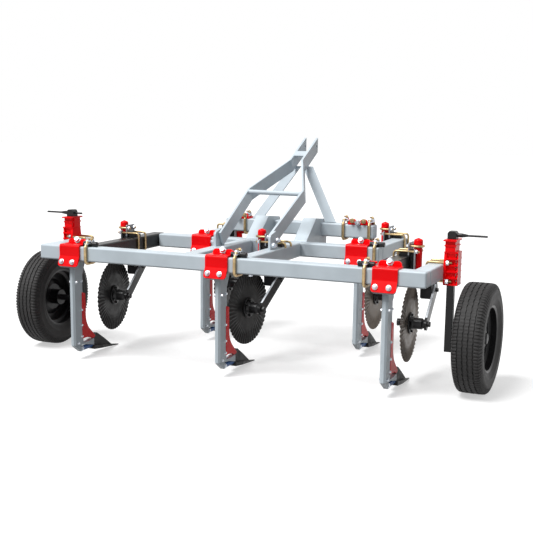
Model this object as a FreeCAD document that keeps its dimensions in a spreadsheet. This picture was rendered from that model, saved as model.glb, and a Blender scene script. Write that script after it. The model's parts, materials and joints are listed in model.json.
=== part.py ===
# Five-shank deep-ripping plow with coulters, gauge wheels and a three-point mast, in millimetres.
# X runs to the right, Y forward in the direction of travel, Z up. The floor is Z = 0, where the share points
# and both tyres stand, and the origin is under the middle of the whole machine.
import FreeCAD, Part
import math
import os
from FreeCAD import Placement, Rotation, Vector

doc = FreeCAD.newDocument("plow")

# Driving dimensions: name, value, meaning. Lengths along Y are from the centre line of the rear bar.
SIZES = [
    ("tube_side", 100.0, "side of the square frame tube"),
    ("tube_corner", 12.0, "outer corner radius of the frame tube"),
    ("bar_height", 753.0, "centre line of the rear and mid bars above the floor"),
    ("rear_bar_length", 2746.0, "rear bar over its mitred ends"),
    ("mid_bar_ahead", 948.0, "mid bar ahead of the rear bar"),
    ("mid_bar_left", 980.0, "mid bar reach to the left of the middle"),
    ("mid_bar_right", 770.0, "mid bar reach to the right of the middle"),
    ("front_bar_ahead", 1330.0, "front bar ahead of the rear bar"),
    ("front_bar_rise", 110.0, "front bar centre line above the other bars"),
    ("front_bar_length", 1200.0, "front bar, end to end"),
    ("side_arm_reach", 400.0, "side arm ahead of the rear bar's front face"),
    ("hitch_offset", -50.0, "middle of the mast and the centre rails"),
    ("rail_spacing", 383.0, "between the centre lines of the centre rails"),
    ("rear_shank_spacing", 1123.0, "between neighbouring shanks on the rear bar"),
    ("mid_shank_offset", 610.0, "shanks on the mid bar, either side of the middle"),
    ("shank_thick", 40.0, "shank across the direction of travel"),
    ("shank_deep", 105.0, "shank along the direction of travel"),
    ("shank_rear", -45.0, "rear edge of the shank, behind the bar's centre line"),
    ("shank_bevel", 12.0, "bevel of the shank's rear edge"),
    ("shank_heel", 105.0, "rear end of the shank's underside above the share points"),
    ("shank_foot", 70.0, "underside of the shank's foot at the share's joint"),
    ("shank_wedge", 50.0, "lowest edge of the wedge behind the share's bolt"),
    ("shank_head_wide", 150.0, "bent head plate of the shank, across"),
    ("shank_head_thick", 10.0, "thickness of that plate"),
    ("shank_head_drop", 44.0, "lower edge of that plate below the bar"),
    ("gusset_drop", 105.0, "foot of the shank's front gusset below the bar"),
    ("gusset_reach", 36.0, "front gusset ahead of the shank"),
    ("clamp_wide", 158.0, "shank clamp, across"),
    ("clamp_plate", 12.0, "thickness of the clamp plate"),
    ("clamp_fold", 33.0, "fold of the clamp's lip above the underside of the bar"),
    ("clamp_lip_drop", 34.0, "clamp lip below the underside of the bar"),
    ("clamp_lip_reach", 28.0, "how far the lip stands out behind the clamp plate"),
    ("clamp_corner", 18.0, "radius of the lip's lower corners"),
    ("clamp_lug_rise", 30.0, "height of the two lugs above the clamp's top plate"),
    ("clamp_lug_wide", 58.0, "width of one lug"),
    ("guard_thick", 46.0, "shin guard across"),
    ("guard_wrap", 14.0, "cheeks of the shin guard behind the shank's front face"),
    ("guard_deep", 26.0, "shin guard ahead of the shank"),
    ("guard_top", 470.0, "top of the shin guard above the floor"),
    ("guard_foot", 120.0, "lowest corner of the shin guard"),
    ("guard_toe", 205.0, "toe of the shin guard ahead of the bar's centre line"),
    ("share_tip", 535.0, "share point ahead of the bar's centre line"),
    ("share_heel", 178.0, "rear end of the share ahead of the bar's centre line"),
    ("share_wide", 64.0, "share across"),
    ("share_thick", 29.0, "share body, top to bottom at its heel"),
    ("foot_joint", 190.0, "joint between the shank's foot and the share's fin, ahead of the bar's centre line"),
    ("foot_top", 108.0, "top of the shank's foot under the guard"),
    ("fin_thick", 24.0, "upright fin of the share, across"),
    ("fin_top", 240.0, "rear top corner of the fin ahead of the bar's centre line"),
    ("sleeve_radius", 17.0, "sleeve of the share's bolt"),
    ("sleeve_rear", 62.0, "rear end of that sleeve ahead of the bar's centre line"),
    ("sleeve_axis", 67.0, "that sleeve above the share points"),
    ("post_lead_rear", 645.0, "coulter posts ahead of the rear bar's centre line"),
    ("post_lead_mid", 590.0, "coulter posts ahead of the mid bar's centre line"),
    ("post_radius", 28.0, "coulter post"),
    ("post_rise", 118.0, "top of the coulter post's cap above the frame tubes"),
    ("post_block_rise", 30.0, "clamping block of a coulter post above the frame tubes"),
    ("post_drop", 63.0, "foot of the coulter post below the frame tubes"),
    ("post_cap_high", 44.0, "height of the domed cap"),
    ("arm_offset", 108.0, "coulter arm from the disc's plane"),
    ("arm_wide", 70.0, "coulter arm, broad face"),
    ("arm_thick", 16.0, "coulter arm, thickness"),
    ("arm_hang", 41.3, "upper end of the coulter arm below the post's foot"),
    ("arm_lead", 110.0, "front end of the coulter arm ahead of the post"),
    ("coulter_trail", 180.0, "disc axle behind the post"),
    ("coulter_axle", 388.0, "disc axle above the floor"),
    ("disc_radius", 255.0, "coulter disc"),
    ("disc_thick", 6.0, "coulter disc"),
    ("hub_radius", 34.0, "coulter hub"),
    ("spindle_radius", 14.0, "spindle that the coulter hub turns on"),
    ("kingpin_radius", 20.0, "pin of the coulter head inside the post"),
    ("kingpin_long", 45.0, "reach of that pin into the post"),
    ("head_flange", 18.0, "thickness of the head's plate under the post"),
    ("running_gap", 0.06, "radial gap of a running fit"),
    ("seat_gap", 0.3, "gap between faces that turn past each other"),
    ("leg_ahead", 395.0, "wheel leg ahead of the rear bar's centre line"),
    ("leg_side", 45.0, "side of the wheel leg's square bar"),
    ("leg_below_axle", 105.0, "wheel leg below the wheel axle"),
    ("leg_above_axle", 410.0, "wheel leg above the wheel axle"),
    ("jack_wall", 9.0, "wall of the jack casting"),
    ("jack_drop", 32.0, "underside of the jack casting below the frame tubes"),
    ("jack_rise", 78.0, "top of the jack's wide lower part above the frame tubes"),
    ("jack_neck", 75.0, "height of the jack's narrow upper part"),
    ("jack_web", 9.0, "thickness of the casting's ribs and flanges"),
    ("jack_reach", 50.0, "casting's flanges out from the leg's axis"),
    ("jack_half", 57.0, "half length of the casting's flanges along the side arm"),
    ("slide_gap", 0.4, "gap on each side of the leg in the jack"),
    ("jack_plate", 15.0, "flange between the side arm and the leg"),
    ("wheel_offset", 1596.0, "middle plane of the wheel either side of the middle"),
    ("tyre_radius", 348.0, "tyre over its tread"),
    ("tyre_wide", 192.0, "tyre, wall to wall"),
    ("rim_radius", 203.0, "rim where the tyre's beads seat"),
    ("rim_wide", 160.0, "rim over its flanges"),
    ("rim_wall", 6.0, "wall of the rim"),
    ("rim_well", 20.0, "depth of the rim's drop centre"),
    ("axle_radius", 22.0, "stub axle"),
    ("wheel_hub_radius", 55.0, "wheel hub"),
    ("crank_head_high", 50.0, "black head of the jack screw"),
    ("crank_head_wide", 56.0, "black head of the jack screw, across"),
    ("crank_reach", 215.0, "crank handle from the screw to its outer end"),
    ("crank_short", 85.0, "left crank handle from the screw to its inner end"),
    ("crank_bar", 6.5, "radius of the crank handle's bar"),
    ("mast_plate", 16.0, "thickness of the mast plates"),
    ("mast_depth", 100.0, "depth of the mast plates, square to their slope"),
    ("mast_slope", 27.8, "slope of the mast, in degrees"),
    ("mast_base_ahead", 480.0, "rear foot of the mast ahead of the rear bar"),
    ("mast_base_rise", 47.0, "rear foot of the mast above the frame tubes, at its middle"),
    ("mast_bend_one", 590.0, "first bend along the slope"),
    ("mast_bend_two", 1020.0, "second bend along the slope"),
    ("mast_length", 1360.0, "ear tip along the slope"),
    ("mast_base_half", 178.0, "half spacing of the mast plates at the foot"),
    ("mast_bend_half", 205.0, "half spacing of the mast plates at the first bend"),
    ("mast_ear_half", 40.0, "half the gap between the ears"),
    ("top_pin_radius", 12.8, "bore of the top link pin"),
    ("top_pin_back", 52.0, "top link bore behind the ear tip"),
    ("cross_radius", 17.0, "round cross tube of the mast"),
    ("brace_wide", 72.0, "front brace of the mast, broad face"),
    ("brace_thick", 12.0, "front brace of the mast, thickness"),
    ("brace_foot_half", 301.0, "half spacing of the braces' feet"),
    ("hitch_bracket_offset", 482.0, "lower link brackets either side of the middle"),
    ("hitch_lug_gap", 62.0, "gap between the lugs of a lower link bracket"),
    ("hitch_lug_thick", 16.0, "lug of a lower link bracket"),
    ("hitch_lug_reach", 95.0, "lug ahead of the bracket's plate"),
    ("hitch_bore_radius", 14.3, "bore for the pin of a lower link"),
]

sheet = doc.addObject("Spreadsheet::Sheet", "Sizes")
for row, (name, value, meaning) in enumerate(SIZES, start=1):
    sheet.set("A%d" % row, meaning)
    sheet.set("B%d" % row, repr(value))
    sheet.setAlias("B%d" % row, name)
doc.recompute()
d = {name: float(sheet.get(name)) for name, value, meaning in SIZES}

half_tube = d["tube_side"] / 2
bar_top = d["bar_height"] + half_tube
bar_under = d["bar_height"] - half_tube
front_bar_height = d["bar_height"] + d["front_bar_rise"]
mast_base = bar_top + d["mast_base_rise"]
post_foot, post_top = bar_under - d["post_drop"], bar_top + d["post_rise"]
arm_slope = math.degrees(math.atan2(post_foot - d["arm_hang"] - d["coulter_axle"], d["coulter_trail"] + d["arm_lead"]))
jack_low, jack_shoulder = bar_under - d["jack_drop"], bar_top + d["jack_rise"]
jack_high = jack_shoulder + d["jack_neck"]
rear_extent = half_tube + d["clamp_plate"] + d["clamp_lip_reach"]
slope = math.radians(d["mast_slope"])
front_extent = d["mast_base_ahead"] + d["mast_length"] * math.cos(slope) - d["mast_depth"] / 2 * math.sin(slope)
DATUM = Vector(0, -(front_extent - rear_extent) / 2, 0)

SUB_PARTS = []


def keep(obj, label, turn=None):
    """Names a finished sub-part and puts it in the machine's frame; turn is a Placement made before that."""
    obj.Label = label
    obj.Placement = Placement(DATUM, Rotation()).multiply(turn or Placement())
    SUB_PARTS.append(obj)
    return obj


def outline(points):
    """A closed outline of straight edges, each corner (u, v, radius) rounded where its radius is above zero."""
    edges, count = [], len(points)
    starts, ends, middles = [], [], []
    for i, (u, v, r) in enumerate(points):
        here = Vector(u, v, 0)
        back = (Vector(*points[i - 1][:2], 0) - here).normalize()
        ahead = (Vector(*points[(i + 1) % count][:2], 0) - here).normalize()
        half = back.getAngle(ahead) / 2
        cut = r / math.tan(half) if r else 0.0
        starts.append(here + back * cut)
        ends.append(here + ahead * cut)
        bisector = (back + ahead).normalize() if r else Vector()
        middles.append(here + bisector * (r / math.sin(half) - r) if r else None)
    for i in range(count):
        if middles[i]:
            edges.append(Part.Arc(starts[i], middles[i], ends[i]))
        following = starts[(i + 1) % count]
        if (following - ends[i]).Length > 1e-6:
            edges.append(Part.LineSegment(ends[i], following))
    return edges


def circle(u, v, radius):
    return [Part.Circle(Vector(u, v, 0), Vector(0, 0, 1), radius)]


def plane_of(body, role):
    return [f for f in body.Origin.OriginFeatures if f.Role == role][0]


def sketch_on(body, role, geometry, offset=0.0):
    sketch = body.newObject("Sketcher::SketchObject", "Outline")
    sketch.AttachmentSupport = [(plane_of(body, role), "")]
    sketch.MapMode = "FlatFace"
    sketch.AttachmentOffset = Placement(Vector(0, 0, offset), Rotation())
    for piece in geometry:
        sketch.addGeometry(piece, False)
    return sketch


def plate(name, role, geometry, thickness, offset=0.0, body=None):
    """Pads an outline on an origin plane by a thickness, evenly to both sides of offset."""
    body = body or doc.addObject("PartDesign::Body", name)
    pad = body.newObject("PartDesign::Pad", "Pad")
    pad.Profile = sketch_on(body, role, geometry, offset)
    pad.Midplane = True
    if isinstance(thickness, str):
        pad.setExpression("Length", "Sizes." + thickness)
    else:
        pad.Length = thickness
    return body


def pocket(body, role, geometry, thickness, offset=0.0):
    cut = body.newObject("PartDesign::Pocket", "Pocket")
    cut.Profile = sketch_on(body, role, geometry, offset)
    cut.Midplane = True
    cut.Length = thickness
    return body


def revolved(name, points, axis="X_Axis"):
    """Revolves an outline in the XZ plane of a body of its own about its X axis: u is along X, v the radius."""
    body = doc.addObject("PartDesign::Body", name)
    turn = body.newObject("PartDesign::Revolution", "Revolution")
    turn.Profile = sketch_on(body, "XZ_Plane", outline(points))
    turn.ReferenceAxis = (plane_of(body, axis), [""])
    turn.Angle = 360
    return body


def fused(name, shapes):
    """Joins solids that are welded or cast together."""
    joined = doc.addObject("Part::MultiFuse", name)
    joined.Shapes = shapes
    joined.Refine = True
    return joined


def gathered(name, shapes):
    """Like pieces that don't touch, kept together as one sub-part."""
    group = doc.addObject("Part::Compound", name)
    group.Links = shapes
    return group


def moved(obj, x=0.0, y=0.0, z=0.0, turn=None):
    obj.Placement = Placement(Vector(x, y, z), turn or Rotation())
    return obj


def tube(name, centre, length, along):
    """A closed square tube with rounded edges; length is a Sizes name or an expression."""
    block = doc.addObject("Part::Box", name + "Block")
    sides = {"Length": "Sizes.tube_side", "Width": "Sizes.tube_side", "Height": "Sizes.tube_side"}
    sides[along] = length
    for side, expression in sides.items():
        block.setExpression(side, expression)
    doc.recompute()
    x, y, z = centre
    block.Placement.Base = Vector(x - block.Length.Value / 2, y - block.Width.Value / 2,
                                  z - block.Height.Value / 2)
    rounded = doc.addObject("Part::Fillet", name)
    rounded.Base = block
    rounded.Edges = [(i, d["tube_corner"], d["tube_corner"]) for i in range(1, 13)]
    return rounded


# Frame tubes
keep(tube("RearBar", (0, 0, d["bar_height"]), "Sizes.rear_bar_length", "Length"), "rear_bar")
mid_middle = (d["mid_bar_right"] - d["mid_bar_left"]) / 2
keep(tube("MidBar", (mid_middle, d["mid_bar_ahead"], d["bar_height"]),
          "Sizes.mid_bar_left + Sizes.mid_bar_right", "Length"), "mid_bar")
keep(tube("FrontBar", (0, d["front_bar_ahead"], front_bar_height), "Sizes.front_bar_length", "Length"), "front_bar")

side_arm_x = d["rear_bar_length"] / 2 - half_tube
side_arm_y = half_tube + d["side_arm_reach"] / 2
rail_y = d["mid_bar_ahead"] / 2
rail_run = "Sizes.mid_bar_ahead - Sizes.tube_side"
rail_x = {"left": d["hitch_offset"] - d["rail_spacing"] / 2, "right": d["hitch_offset"] + d["rail_spacing"] / 2}
outer_rail_x = {"left": -d["mid_bar_left"] - half_tube, "right": d["mid_bar_left"] + half_tube}
stub_reach = d["post_lead_mid"] + 60.0 - half_tube
stub_x = {"left": half_tube - d["mid_bar_right"], "right": d["mid_bar_right"] - half_tube}
side_arms, stubs = [], []
for side, sign in (("left", -1), ("right", 1)):
    side_arms.append(tube("SideArm", (sign * side_arm_x, side_arm_y, d["bar_height"]), "Sizes.side_arm_reach",
                          "Width"))
    keep(tube("CentreRail", (rail_x[side], rail_y, d["bar_height"]), rail_run, "Width"), "centre_rail_" + side)
    stub_y = d["mid_bar_ahead"] + half_tube + stub_reach / 2
    stubs.append(tube("CoulterStub", (stub_x[side], stub_y, d["bar_height"]), "%f" % stub_reach, "Width"))
keep(gathered("SideArms", side_arms), "side_arms")
keep(gathered("CoulterStubs", stubs), "coulter_stubs")
keep(tube("OuterRail", (outer_rail_x["left"], rail_y + half_tube, d["bar_height"]), "Sizes.mid_bar_ahead", "Width"),
     "outer_rail_left")
right_rail_reach = d["post_lead_rear"] + 60.0 - half_tube
keep(tube("OuterRail", (outer_rail_x["right"], half_tube + right_rail_reach / 2, d["bar_height"]),
          "%f" % right_rail_reach, "Width"), "outer_rail_right")

# Goosenecks that carry the front bar: outline in the YZ plane as (forward, up, corner radius)
neck_front = d["front_bar_ahead"] + half_tube + 20
neck_top = front_bar_height + half_tube + 40
neck_outline = [
    (d["mid_bar_ahead"] + half_tube, bar_under, 0),
    (d["mid_bar_ahead"] + half_tube, bar_top, 20),
    (d["front_bar_ahead"] - 150, neck_top, 30),
    (neck_front, neck_top - 20, 25),
    (neck_front, bar_under + 20, 25),
    (neck_front - 110, bar_under - 30, 25),
]
bar_hole = [
    (d["front_bar_ahead"] - half_tube, front_bar_height - half_tube, d["tube_corner"]),
    (d["front_bar_ahead"] + half_tube, front_bar_height - half_tube, d["tube_corner"]),
    (d["front_bar_ahead"] + half_tube, front_bar_height + half_tube, d["tube_corner"]),
    (d["front_bar_ahead"] - half_tube, front_bar_height + half_tube, d["tube_corner"]),
]
necks = []
for x in rail_x.values():
    neck = plate("Gooseneck", "YZ_Plane", outline(neck_outline), "tube_side", x)
    necks.append(pocket(neck, "YZ_Plane", outline(bar_hole), d["tube_side"] + 2, x))
keep(gathered("Goosenecks", necks), "goosenecks")


# Mast: bent plates in a plane that slopes up and forward
def mast_frame():
    """Placement whose local X is across, Y up the slope and Z square to it."""
    base = Vector(d["hitch_offset"], d["mast_base_ahead"], mast_base)
    return Placement(base, Rotation(Vector(1, 0, 0), d["mast_slope"]))


def strip(path, thickness, side):
    """Outline of a bent plate beside a path of (across, along); side is +1 or -1 for the outer face."""
    outer = [(side * (x + thickness), y, 0) for x, y in path]
    inner = [(side * x, y, 0) for x, y in reversed(path)]
    return outline(outer + inner)


mast_path = [
    (d["mast_base_half"], 0),
    (d["mast_bend_half"], d["mast_bend_one"]),
    (d["mast_ear_half"], d["mast_bend_two"]),
    (d["mast_ear_half"], d["mast_length"]),
]
pin_along = d["mast_length"] - d["top_pin_back"]
ear_half = d["mast_depth"] / 2
ear_cut = [(d["mast_length"] + 50, ear_half + 50, 0), (d["mast_length"], ear_half, 0),
           (d["mast_length"] - 3 * ear_half * math.tan(slope), -2 * ear_half, 0),
           (d["mast_length"] + 50, -2 * ear_half, 0)]
for side, sign in (("left", -1), ("right", 1)):
    leg = plate("MastLeg", "XY_Plane", strip(mast_path, d["mast_plate"], sign), "mast_depth")
    pocket(leg, "YZ_Plane", circle(pin_along, 0, d["top_pin_radius"]), 2 * d["mast_plate"] + 2,
           sign * (d["mast_ear_half"] + d["mast_plate"] / 2))
    pocket(leg, "YZ_Plane", outline(ear_cut), 4 * d["mast_plate"], sign * (d["mast_ear_half"] + d["mast_plate"] / 2))
    keep(leg, "mast_leg_" + side, mast_frame())

# Lugs on the centre rails that hold the feet of the mast
lug_top = mast_base + d["mast_depth"] / 2
lug_half_long = 60.0
mast_splay = (d["mast_bend_half"] - d["mast_base_half"]) / d["mast_bend_one"]
foot_splay = mast_splay * lug_half_long / math.cos(slope) * 1.15 + d["seat_gap"]
lugs = []
for sign in (-1, 1):
    inner_face = sign * (d["mast_base_half"] + d["mast_plate"] + foot_splay) + d["hitch_offset"]
    lug_outline = [
        (d["mast_base_ahead"] - lug_half_long, bar_top, 0),
        (d["mast_base_ahead"] - lug_half_long, lug_top, 25),
        (d["mast_base_ahead"] + lug_half_long, lug_top + 30, 25),
        (d["mast_base_ahead"] + lug_half_long, bar_top, 0),
    ]
    lugs.append(plate("MastLug", "YZ_Plane", outline(lug_outline), "mast_plate",
                      inner_face + sign * d["mast_plate"] / 2))
keep(gathered("MastLugs", lugs), "mast_lugs")

# Cross members of the mast
cross_along = d["mast_bend_one"] - d["cross_radius"] - 4
cross_half = d["mast_base_half"] + mast_splay * (cross_along - d["cross_radius"]) - 0.02
cross = doc.addObject("Part::Cylinder", "CrossTube")
cross.setExpression("Radius", "Sizes.cross_radius")
cross.Height = 2 * cross_half
moved(cross, -cross_half, cross_along, d["mast_depth"] / 2 - d["cross_radius"], Rotation(Vector(0, 1, 0), 90))
clevis_plate = doc.addObject("Part::Box", "ClevisPlate")
clevis_plate.Length = 2 * d["mast_ear_half"]
clevis_plate.Width = 70
clevis_plate.Height = 12
moved(clevis_plate, -d["mast_ear_half"], d["mast_bend_two"] + 60, d["mast_depth"] / 2 - 12)
keep(gathered("MastCross", [cross, clevis_plate]), "mast_cross_members", mast_frame())

# Front braces, from the underside of the ears down to the front bar, both ends cut level
brace_top_y = d["mast_base_ahead"] + (d["mast_bend_two"] + 110) * math.cos(slope)
mast_under = (mast_base + (brace_top_y - d["mast_base_ahead"]) * math.tan(slope)
              - d["mast_depth"] / 2 / math.cos(slope))
braces = []
for sign in (-1, 1):
    top = Vector(d["hitch_offset"] + sign * (d["mast_ear_half"] + d["mast_plate"] / 2), brace_top_y,
                 mast_under - d["brace_thick"] / 2 * math.tan(slope) - d["seat_gap"])
    foot = Vector(d["hitch_offset"] + sign * d["brace_foot_half"], d["front_bar_ahead"],
                  front_bar_height + half_tube + d["seat_gap"])
    run = top - foot
    normal = Vector(1, 0, 0).cross(run).normalize()
    across = run.cross(normal).normalize()
    rise = run.z / run.Length
    lean = abs(normal.z) * d["brace_thick"] / 2 / rise
    half = d["brace_wide"] / 2
    drop = half * across.z / rise
    low, high = lean, run.Length - lean
    brace = plate("MastBrace", "XY_Plane", outline([
        (-half, low + drop, 0), (half, low - drop, 0), (half, high - drop, 0), (-half, high + drop, 0)]),
        "brace_thick")
    brace.Placement = Placement(foot, Rotation(across, run, normal, "YZX"))
    braces.append(brace)
keep(gathered("MastBraces", braces), "mast_braces")


# Shanks, clamps, guards and shares, one set for each row: number, across, bar's place forward
SHANKS = [
    (1, -d["rear_shank_spacing"], 0.0),
    (2, -d["mid_shank_offset"], d["mid_bar_ahead"]),
    (3, 0.0, 0.0),
    (4, d["mid_shank_offset"], d["mid_bar_ahead"]),
    (5, d["rear_shank_spacing"], 0.0),
]
shank_front = d["shank_rear"] + d["shank_deep"]


def round_lip(body, half_wide, low):
    """Rounds the two lower corners of a lip, seen along Y."""
    r = d["clamp_corner"]
    for side in (-1, 1):
        edge = side * half_wide
        corner = [(edge - side * (r + 1), low - 5, 0), (edge + side * 5, low - 5, 0), (edge + side * 5, low + r + 1, 0),
                  (edge, low + r + 1, 0), (edge, low, r), (edge - side * (r + 1), low, 0)]
        pocket(body, "XZ_Plane", outline(corner), 4 * d["tube_side"])


def lip_back(below):
    """How far behind the bar's rear face the inner face of the clamp's lip is, at a height below the bar."""
    fold = d["clamp_fold"]
    return d["clamp_lip_reach"] * (fold + below) / (fold + d["clamp_lip_drop"])


def shank():
    """Upright bar with a bent head plate and a gusset under the toolbar, and a foot under the guard."""
    half = d["shank_thick"] / 2
    bevel = d["shank_bevel"]
    section = [(-half, shank_front, 4), (-half, d["shank_rear"] + bevel, 0), (-half + bevel, d["shank_rear"], 0),
               (half - bevel, d["shank_rear"], 0), (half, d["shank_rear"] + bevel, 0), (half, shank_front, 4)]
    heel = d["shank_heel"]
    high = bar_under - heel
    body = plate("Shank", "XY_Plane", outline(section), high, heel + high / 2)
    thick, drop, inside = d["shank_head_thick"], d["shank_head_drop"], d["shank_rear"] + 10
    fold_y, low_y = (d["seat_gap"] - half_tube - lip_back(below) for below in (0, drop))
    head = [(inside, bar_under, 0), (fold_y, bar_under, 0), (low_y, bar_under - drop, 0),
            (low_y + thick, bar_under - drop, 0), (fold_y + thick, bar_under - thick, 6),
            (inside, bar_under - thick, 0)]
    plate("Head", "YZ_Plane", outline(head), "shank_head_wide", 0, body)
    round_lip(body, d["shank_head_wide"] / 2, bar_under - drop)
    reach = shank_front + d["gusset_reach"]
    gusset = [(shank_front - 10, bar_under, 0), (reach, bar_under, 0), (reach, bar_under - 25, 8),
              (shank_front, bar_under - d["gusset_drop"], 0), (shank_front - 10, bar_under - d["gusset_drop"], 0)]
    plate("Gusset", "YZ_Plane", outline(gusset), "shank_thick", 0, body)
    joint, top, rear = d["foot_joint"], d["foot_top"], d["shank_rear"] + bevel
    foot = [(rear, heel + 10, 0), (rear, heel - 2, 0), (shank_front + 25, heel - 12, 80), (joint, d["shank_foot"], 0),
            (joint, top + 6, 0), (joint - 31, top + 6, 6), (joint - 58, top, 6), (shank_front - 10, top, 0),
            (shank_front - 10, heel + 10, 0)]
    plate("Foot", "YZ_Plane", outline(foot), "shank_thick", 0, body)
    back, seat = d["shank_rear"] + bevel / 2, d["sleeve_rear"] - 20
    wedge = [(back, heel + 10, 0), (back, heel - 4, 0), (seat - 7, d["shank_wedge"], 0), (seat, d["shank_wedge"], 0),
             (seat, heel + 10, 0)]
    plate("Wedge", "YZ_Plane", outline(wedge), d["shank_thick"] - bevel, 0, body)
    groove = circle(0, d["sleeve_axis"], d["sleeve_radius"] + d["seat_gap"])
    return pocket(body, "XZ_Plane", groove, joint - seat + 1, -(joint + 1 + seat) / 2)


def clamp(facing):
    """Plate folded over a bar, with a lip below and two lugs above. Facing is -1 to the rear, +1 to the front."""
    t, lip, drop = d["clamp_plate"], d["clamp_lip_reach"], d["clamp_lip_drop"]
    face, fold = half_tube, d["clamp_fold"] - half_tube
    low = -half_tube - drop
    profile = [
        (facing * -face, half_tube, 0),
        (facing * -face, half_tube + t, 0),
        (facing * (face + t), half_tube + t, t + 4),
        (facing * (face + t), fold, 10),
        (facing * (face + t + lip), low, 0),
        (facing * (face + lip), low, 0),
        (facing * face, fold, 0),
        (facing * face, half_tube, 0),
    ]
    body = plate("Clamp", "YZ_Plane", outline(profile), "clamp_wide")
    lug_half = d["clamp_wide"] / 2 - d["clamp_lug_wide"] / 2 - 6
    for side in (-1, 1):
        u, half = side * lug_half, d["clamp_lug_wide"] / 2
        top = half_tube + t + d["clamp_lug_rise"]
        lug = [(u - half, half_tube, 0), (u - half, top, half * 0.8), (u + half, top, half * 0.8),
               (u + half, half_tube, 0)]
        plate("Lug", "XZ_Plane", outline(lug), t, -facing * (-face + t / 2), body)
    round_lip(body, d["clamp_wide"] / 2, low)
    return body


def guard():
    """Shin guard with cheeks over the shank's sides, which curves forward to its toe, with a notch under the toe."""
    front, back = shank_front + d["guard_deep"], shank_front - d["guard_wrap"]
    profile = [
        (back, d["guard_top"], 0),
        (front, d["guard_top"] - 12, 6),
        (front + 4, d["guard_foot"] + 120, 150),
        (d["guard_toe"], d["guard_foot"] + 12, 4),
        (d["guard_toe"] - 28, d["guard_foot"], 4),
        (d["guard_toe"] - 73, d["guard_foot"] + 20, 8),
        (d["guard_toe"] - 108, d["guard_foot"] + 22, 0),
        (back, d["guard_foot"] + 22, 0),
    ]
    body = plate("Guard", "YZ_Plane", outline(profile), "guard_thick")
    half = d["shank_thick"] / 2 + d["seat_gap"]
    slot = [(-half, back - 1, 0), (half, back - 1, 0), (half, shank_front, 0), (-half, shank_front, 0)]
    return pocket(body, "XY_Plane", outline(slot), 2 * d["guard_top"], d["guard_top"])


def share():
    """Pointed share that slopes down to the ground, with an upright fin."""
    tip, heel, thick = d["share_tip"], d["share_heel"], d["share_thick"]
    crown = d["shank_foot"] - 1
    profile = [(heel, crown - thick, 0), (heel, crown, 0), (tip, 6, 0), (tip, 0, 0)]
    body = plate("Share", "YZ_Plane", outline(profile), "share_wide")
    half = d["share_wide"] / 2 + 1
    for side in (-1, 1):
        cut = [(side * half, tip - 260, 0), (side * half, tip + 1, 0), (side * 3, tip + 1, 0)]
        pocket(body, "XY_Plane", outline(cut), 400)
    start, top = d["foot_joint"], d["foot_top"] + 6
    fin = [(start, crown - thick / 2, 0), (start, top, 0), (start + 8, top, 4), (d["fin_top"] - 14, top + 34, 0),
           (d["fin_top"], top + 34, 8), (d["fin_top"] + 85, top - 18, 70), (tip - 90, thick / 2, 0)]
    plate("Fin", "YZ_Plane", outline(fin), "fin_thick", 0, body)
    return body


def heel_block():
    """Round sleeve of the bolt that draws the share against the shank's foot."""
    start, end = d["sleeve_rear"], d["share_heel"]
    return plate("HeelBlock", "XZ_Plane", circle(0, d["sleeve_axis"], d["sleeve_radius"]), end - start,
                 -(start + end) / 2)


clamps, guards, shares, heels = [], [], [], []
for number, x, y in SHANKS:
    keep(shank(), "shank_%d" % number, Placement(Vector(x, y, 0), Rotation()))
    clamps.append(moved(clamp(-1), x, y, d["bar_height"]))
    guards.append(moved(guard(), x, y))
    shares.append(moved(share(), x, y))
    heels.append(moved(heel_block(), x, y))
keep(gathered("Clamps", clamps), "shank_clamps")
keep(gathered("Guards", guards), "shin_guards")
keep(gathered("Shares", shares), "shares")
keep(gathered("HeelBlocks", heels), "share_heel_blocks")


# Lower link brackets on the front bar
def hitch_bracket():
    """Clamp on the front bar with two bored lugs for a tractor's lower link."""
    body = clamp(1)
    face = half_tube + d["clamp_plate"]
    pin_y = face + d["hitch_lug_reach"] - 40
    lug = [(face - 6, 20, 0), (pin_y, 20, 20), (pin_y + 40, -20, 30), (pin_y + 40, -80, 30), (pin_y, -90, 20),
           (face + 8, -60, 0)]
    for side in (-1, 1):
        plate("LinkLug", "YZ_Plane", outline(lug), d["hitch_lug_thick"],
              side * (d["hitch_lug_gap"] + d["hitch_lug_thick"]) / 2, body)
    return pocket(body, "YZ_Plane", circle(pin_y, -40, d["hitch_bore_radius"]),
                  d["hitch_lug_gap"] + 2 * d["hitch_lug_thick"] + 2)


brackets = [moved(hitch_bracket(), x, d["front_bar_ahead"], front_bar_height)
            for x in (-d["hitch_bracket_offset"], d["hitch_bracket_offset"])]
keep(gathered("HitchBrackets", brackets), "hitch_brackets")

# Coulters: number, across, bar's place, post lead, rest swivel in degrees, side of the member it is clamped to
COULTERS = [
    (1, -d["rear_shank_spacing"], 0.0, d["post_lead_rear"], 5.5, 1),
    (2, -d["mid_shank_offset"], d["mid_bar_ahead"], d["post_lead_mid"], 0.0, -1),
    (3, 0.0, 0.0, d["post_lead_rear"], -6.5, 1),
    (4, d["mid_shank_offset"], d["mid_bar_ahead"], d["post_lead_mid"], 0.0, 1),
    (5, d["rear_shank_spacing"], 0.0, d["post_lead_rear"], 3.5, -1),
]
member_x = {1: outer_rail_x["left"] - half_tube, 2: stub_x["left"] + half_tube, 3: rail_x["right"] - half_tube,
            4: stub_x["right"] - half_tube, 5: outer_rail_x["right"] + half_tube}


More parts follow.
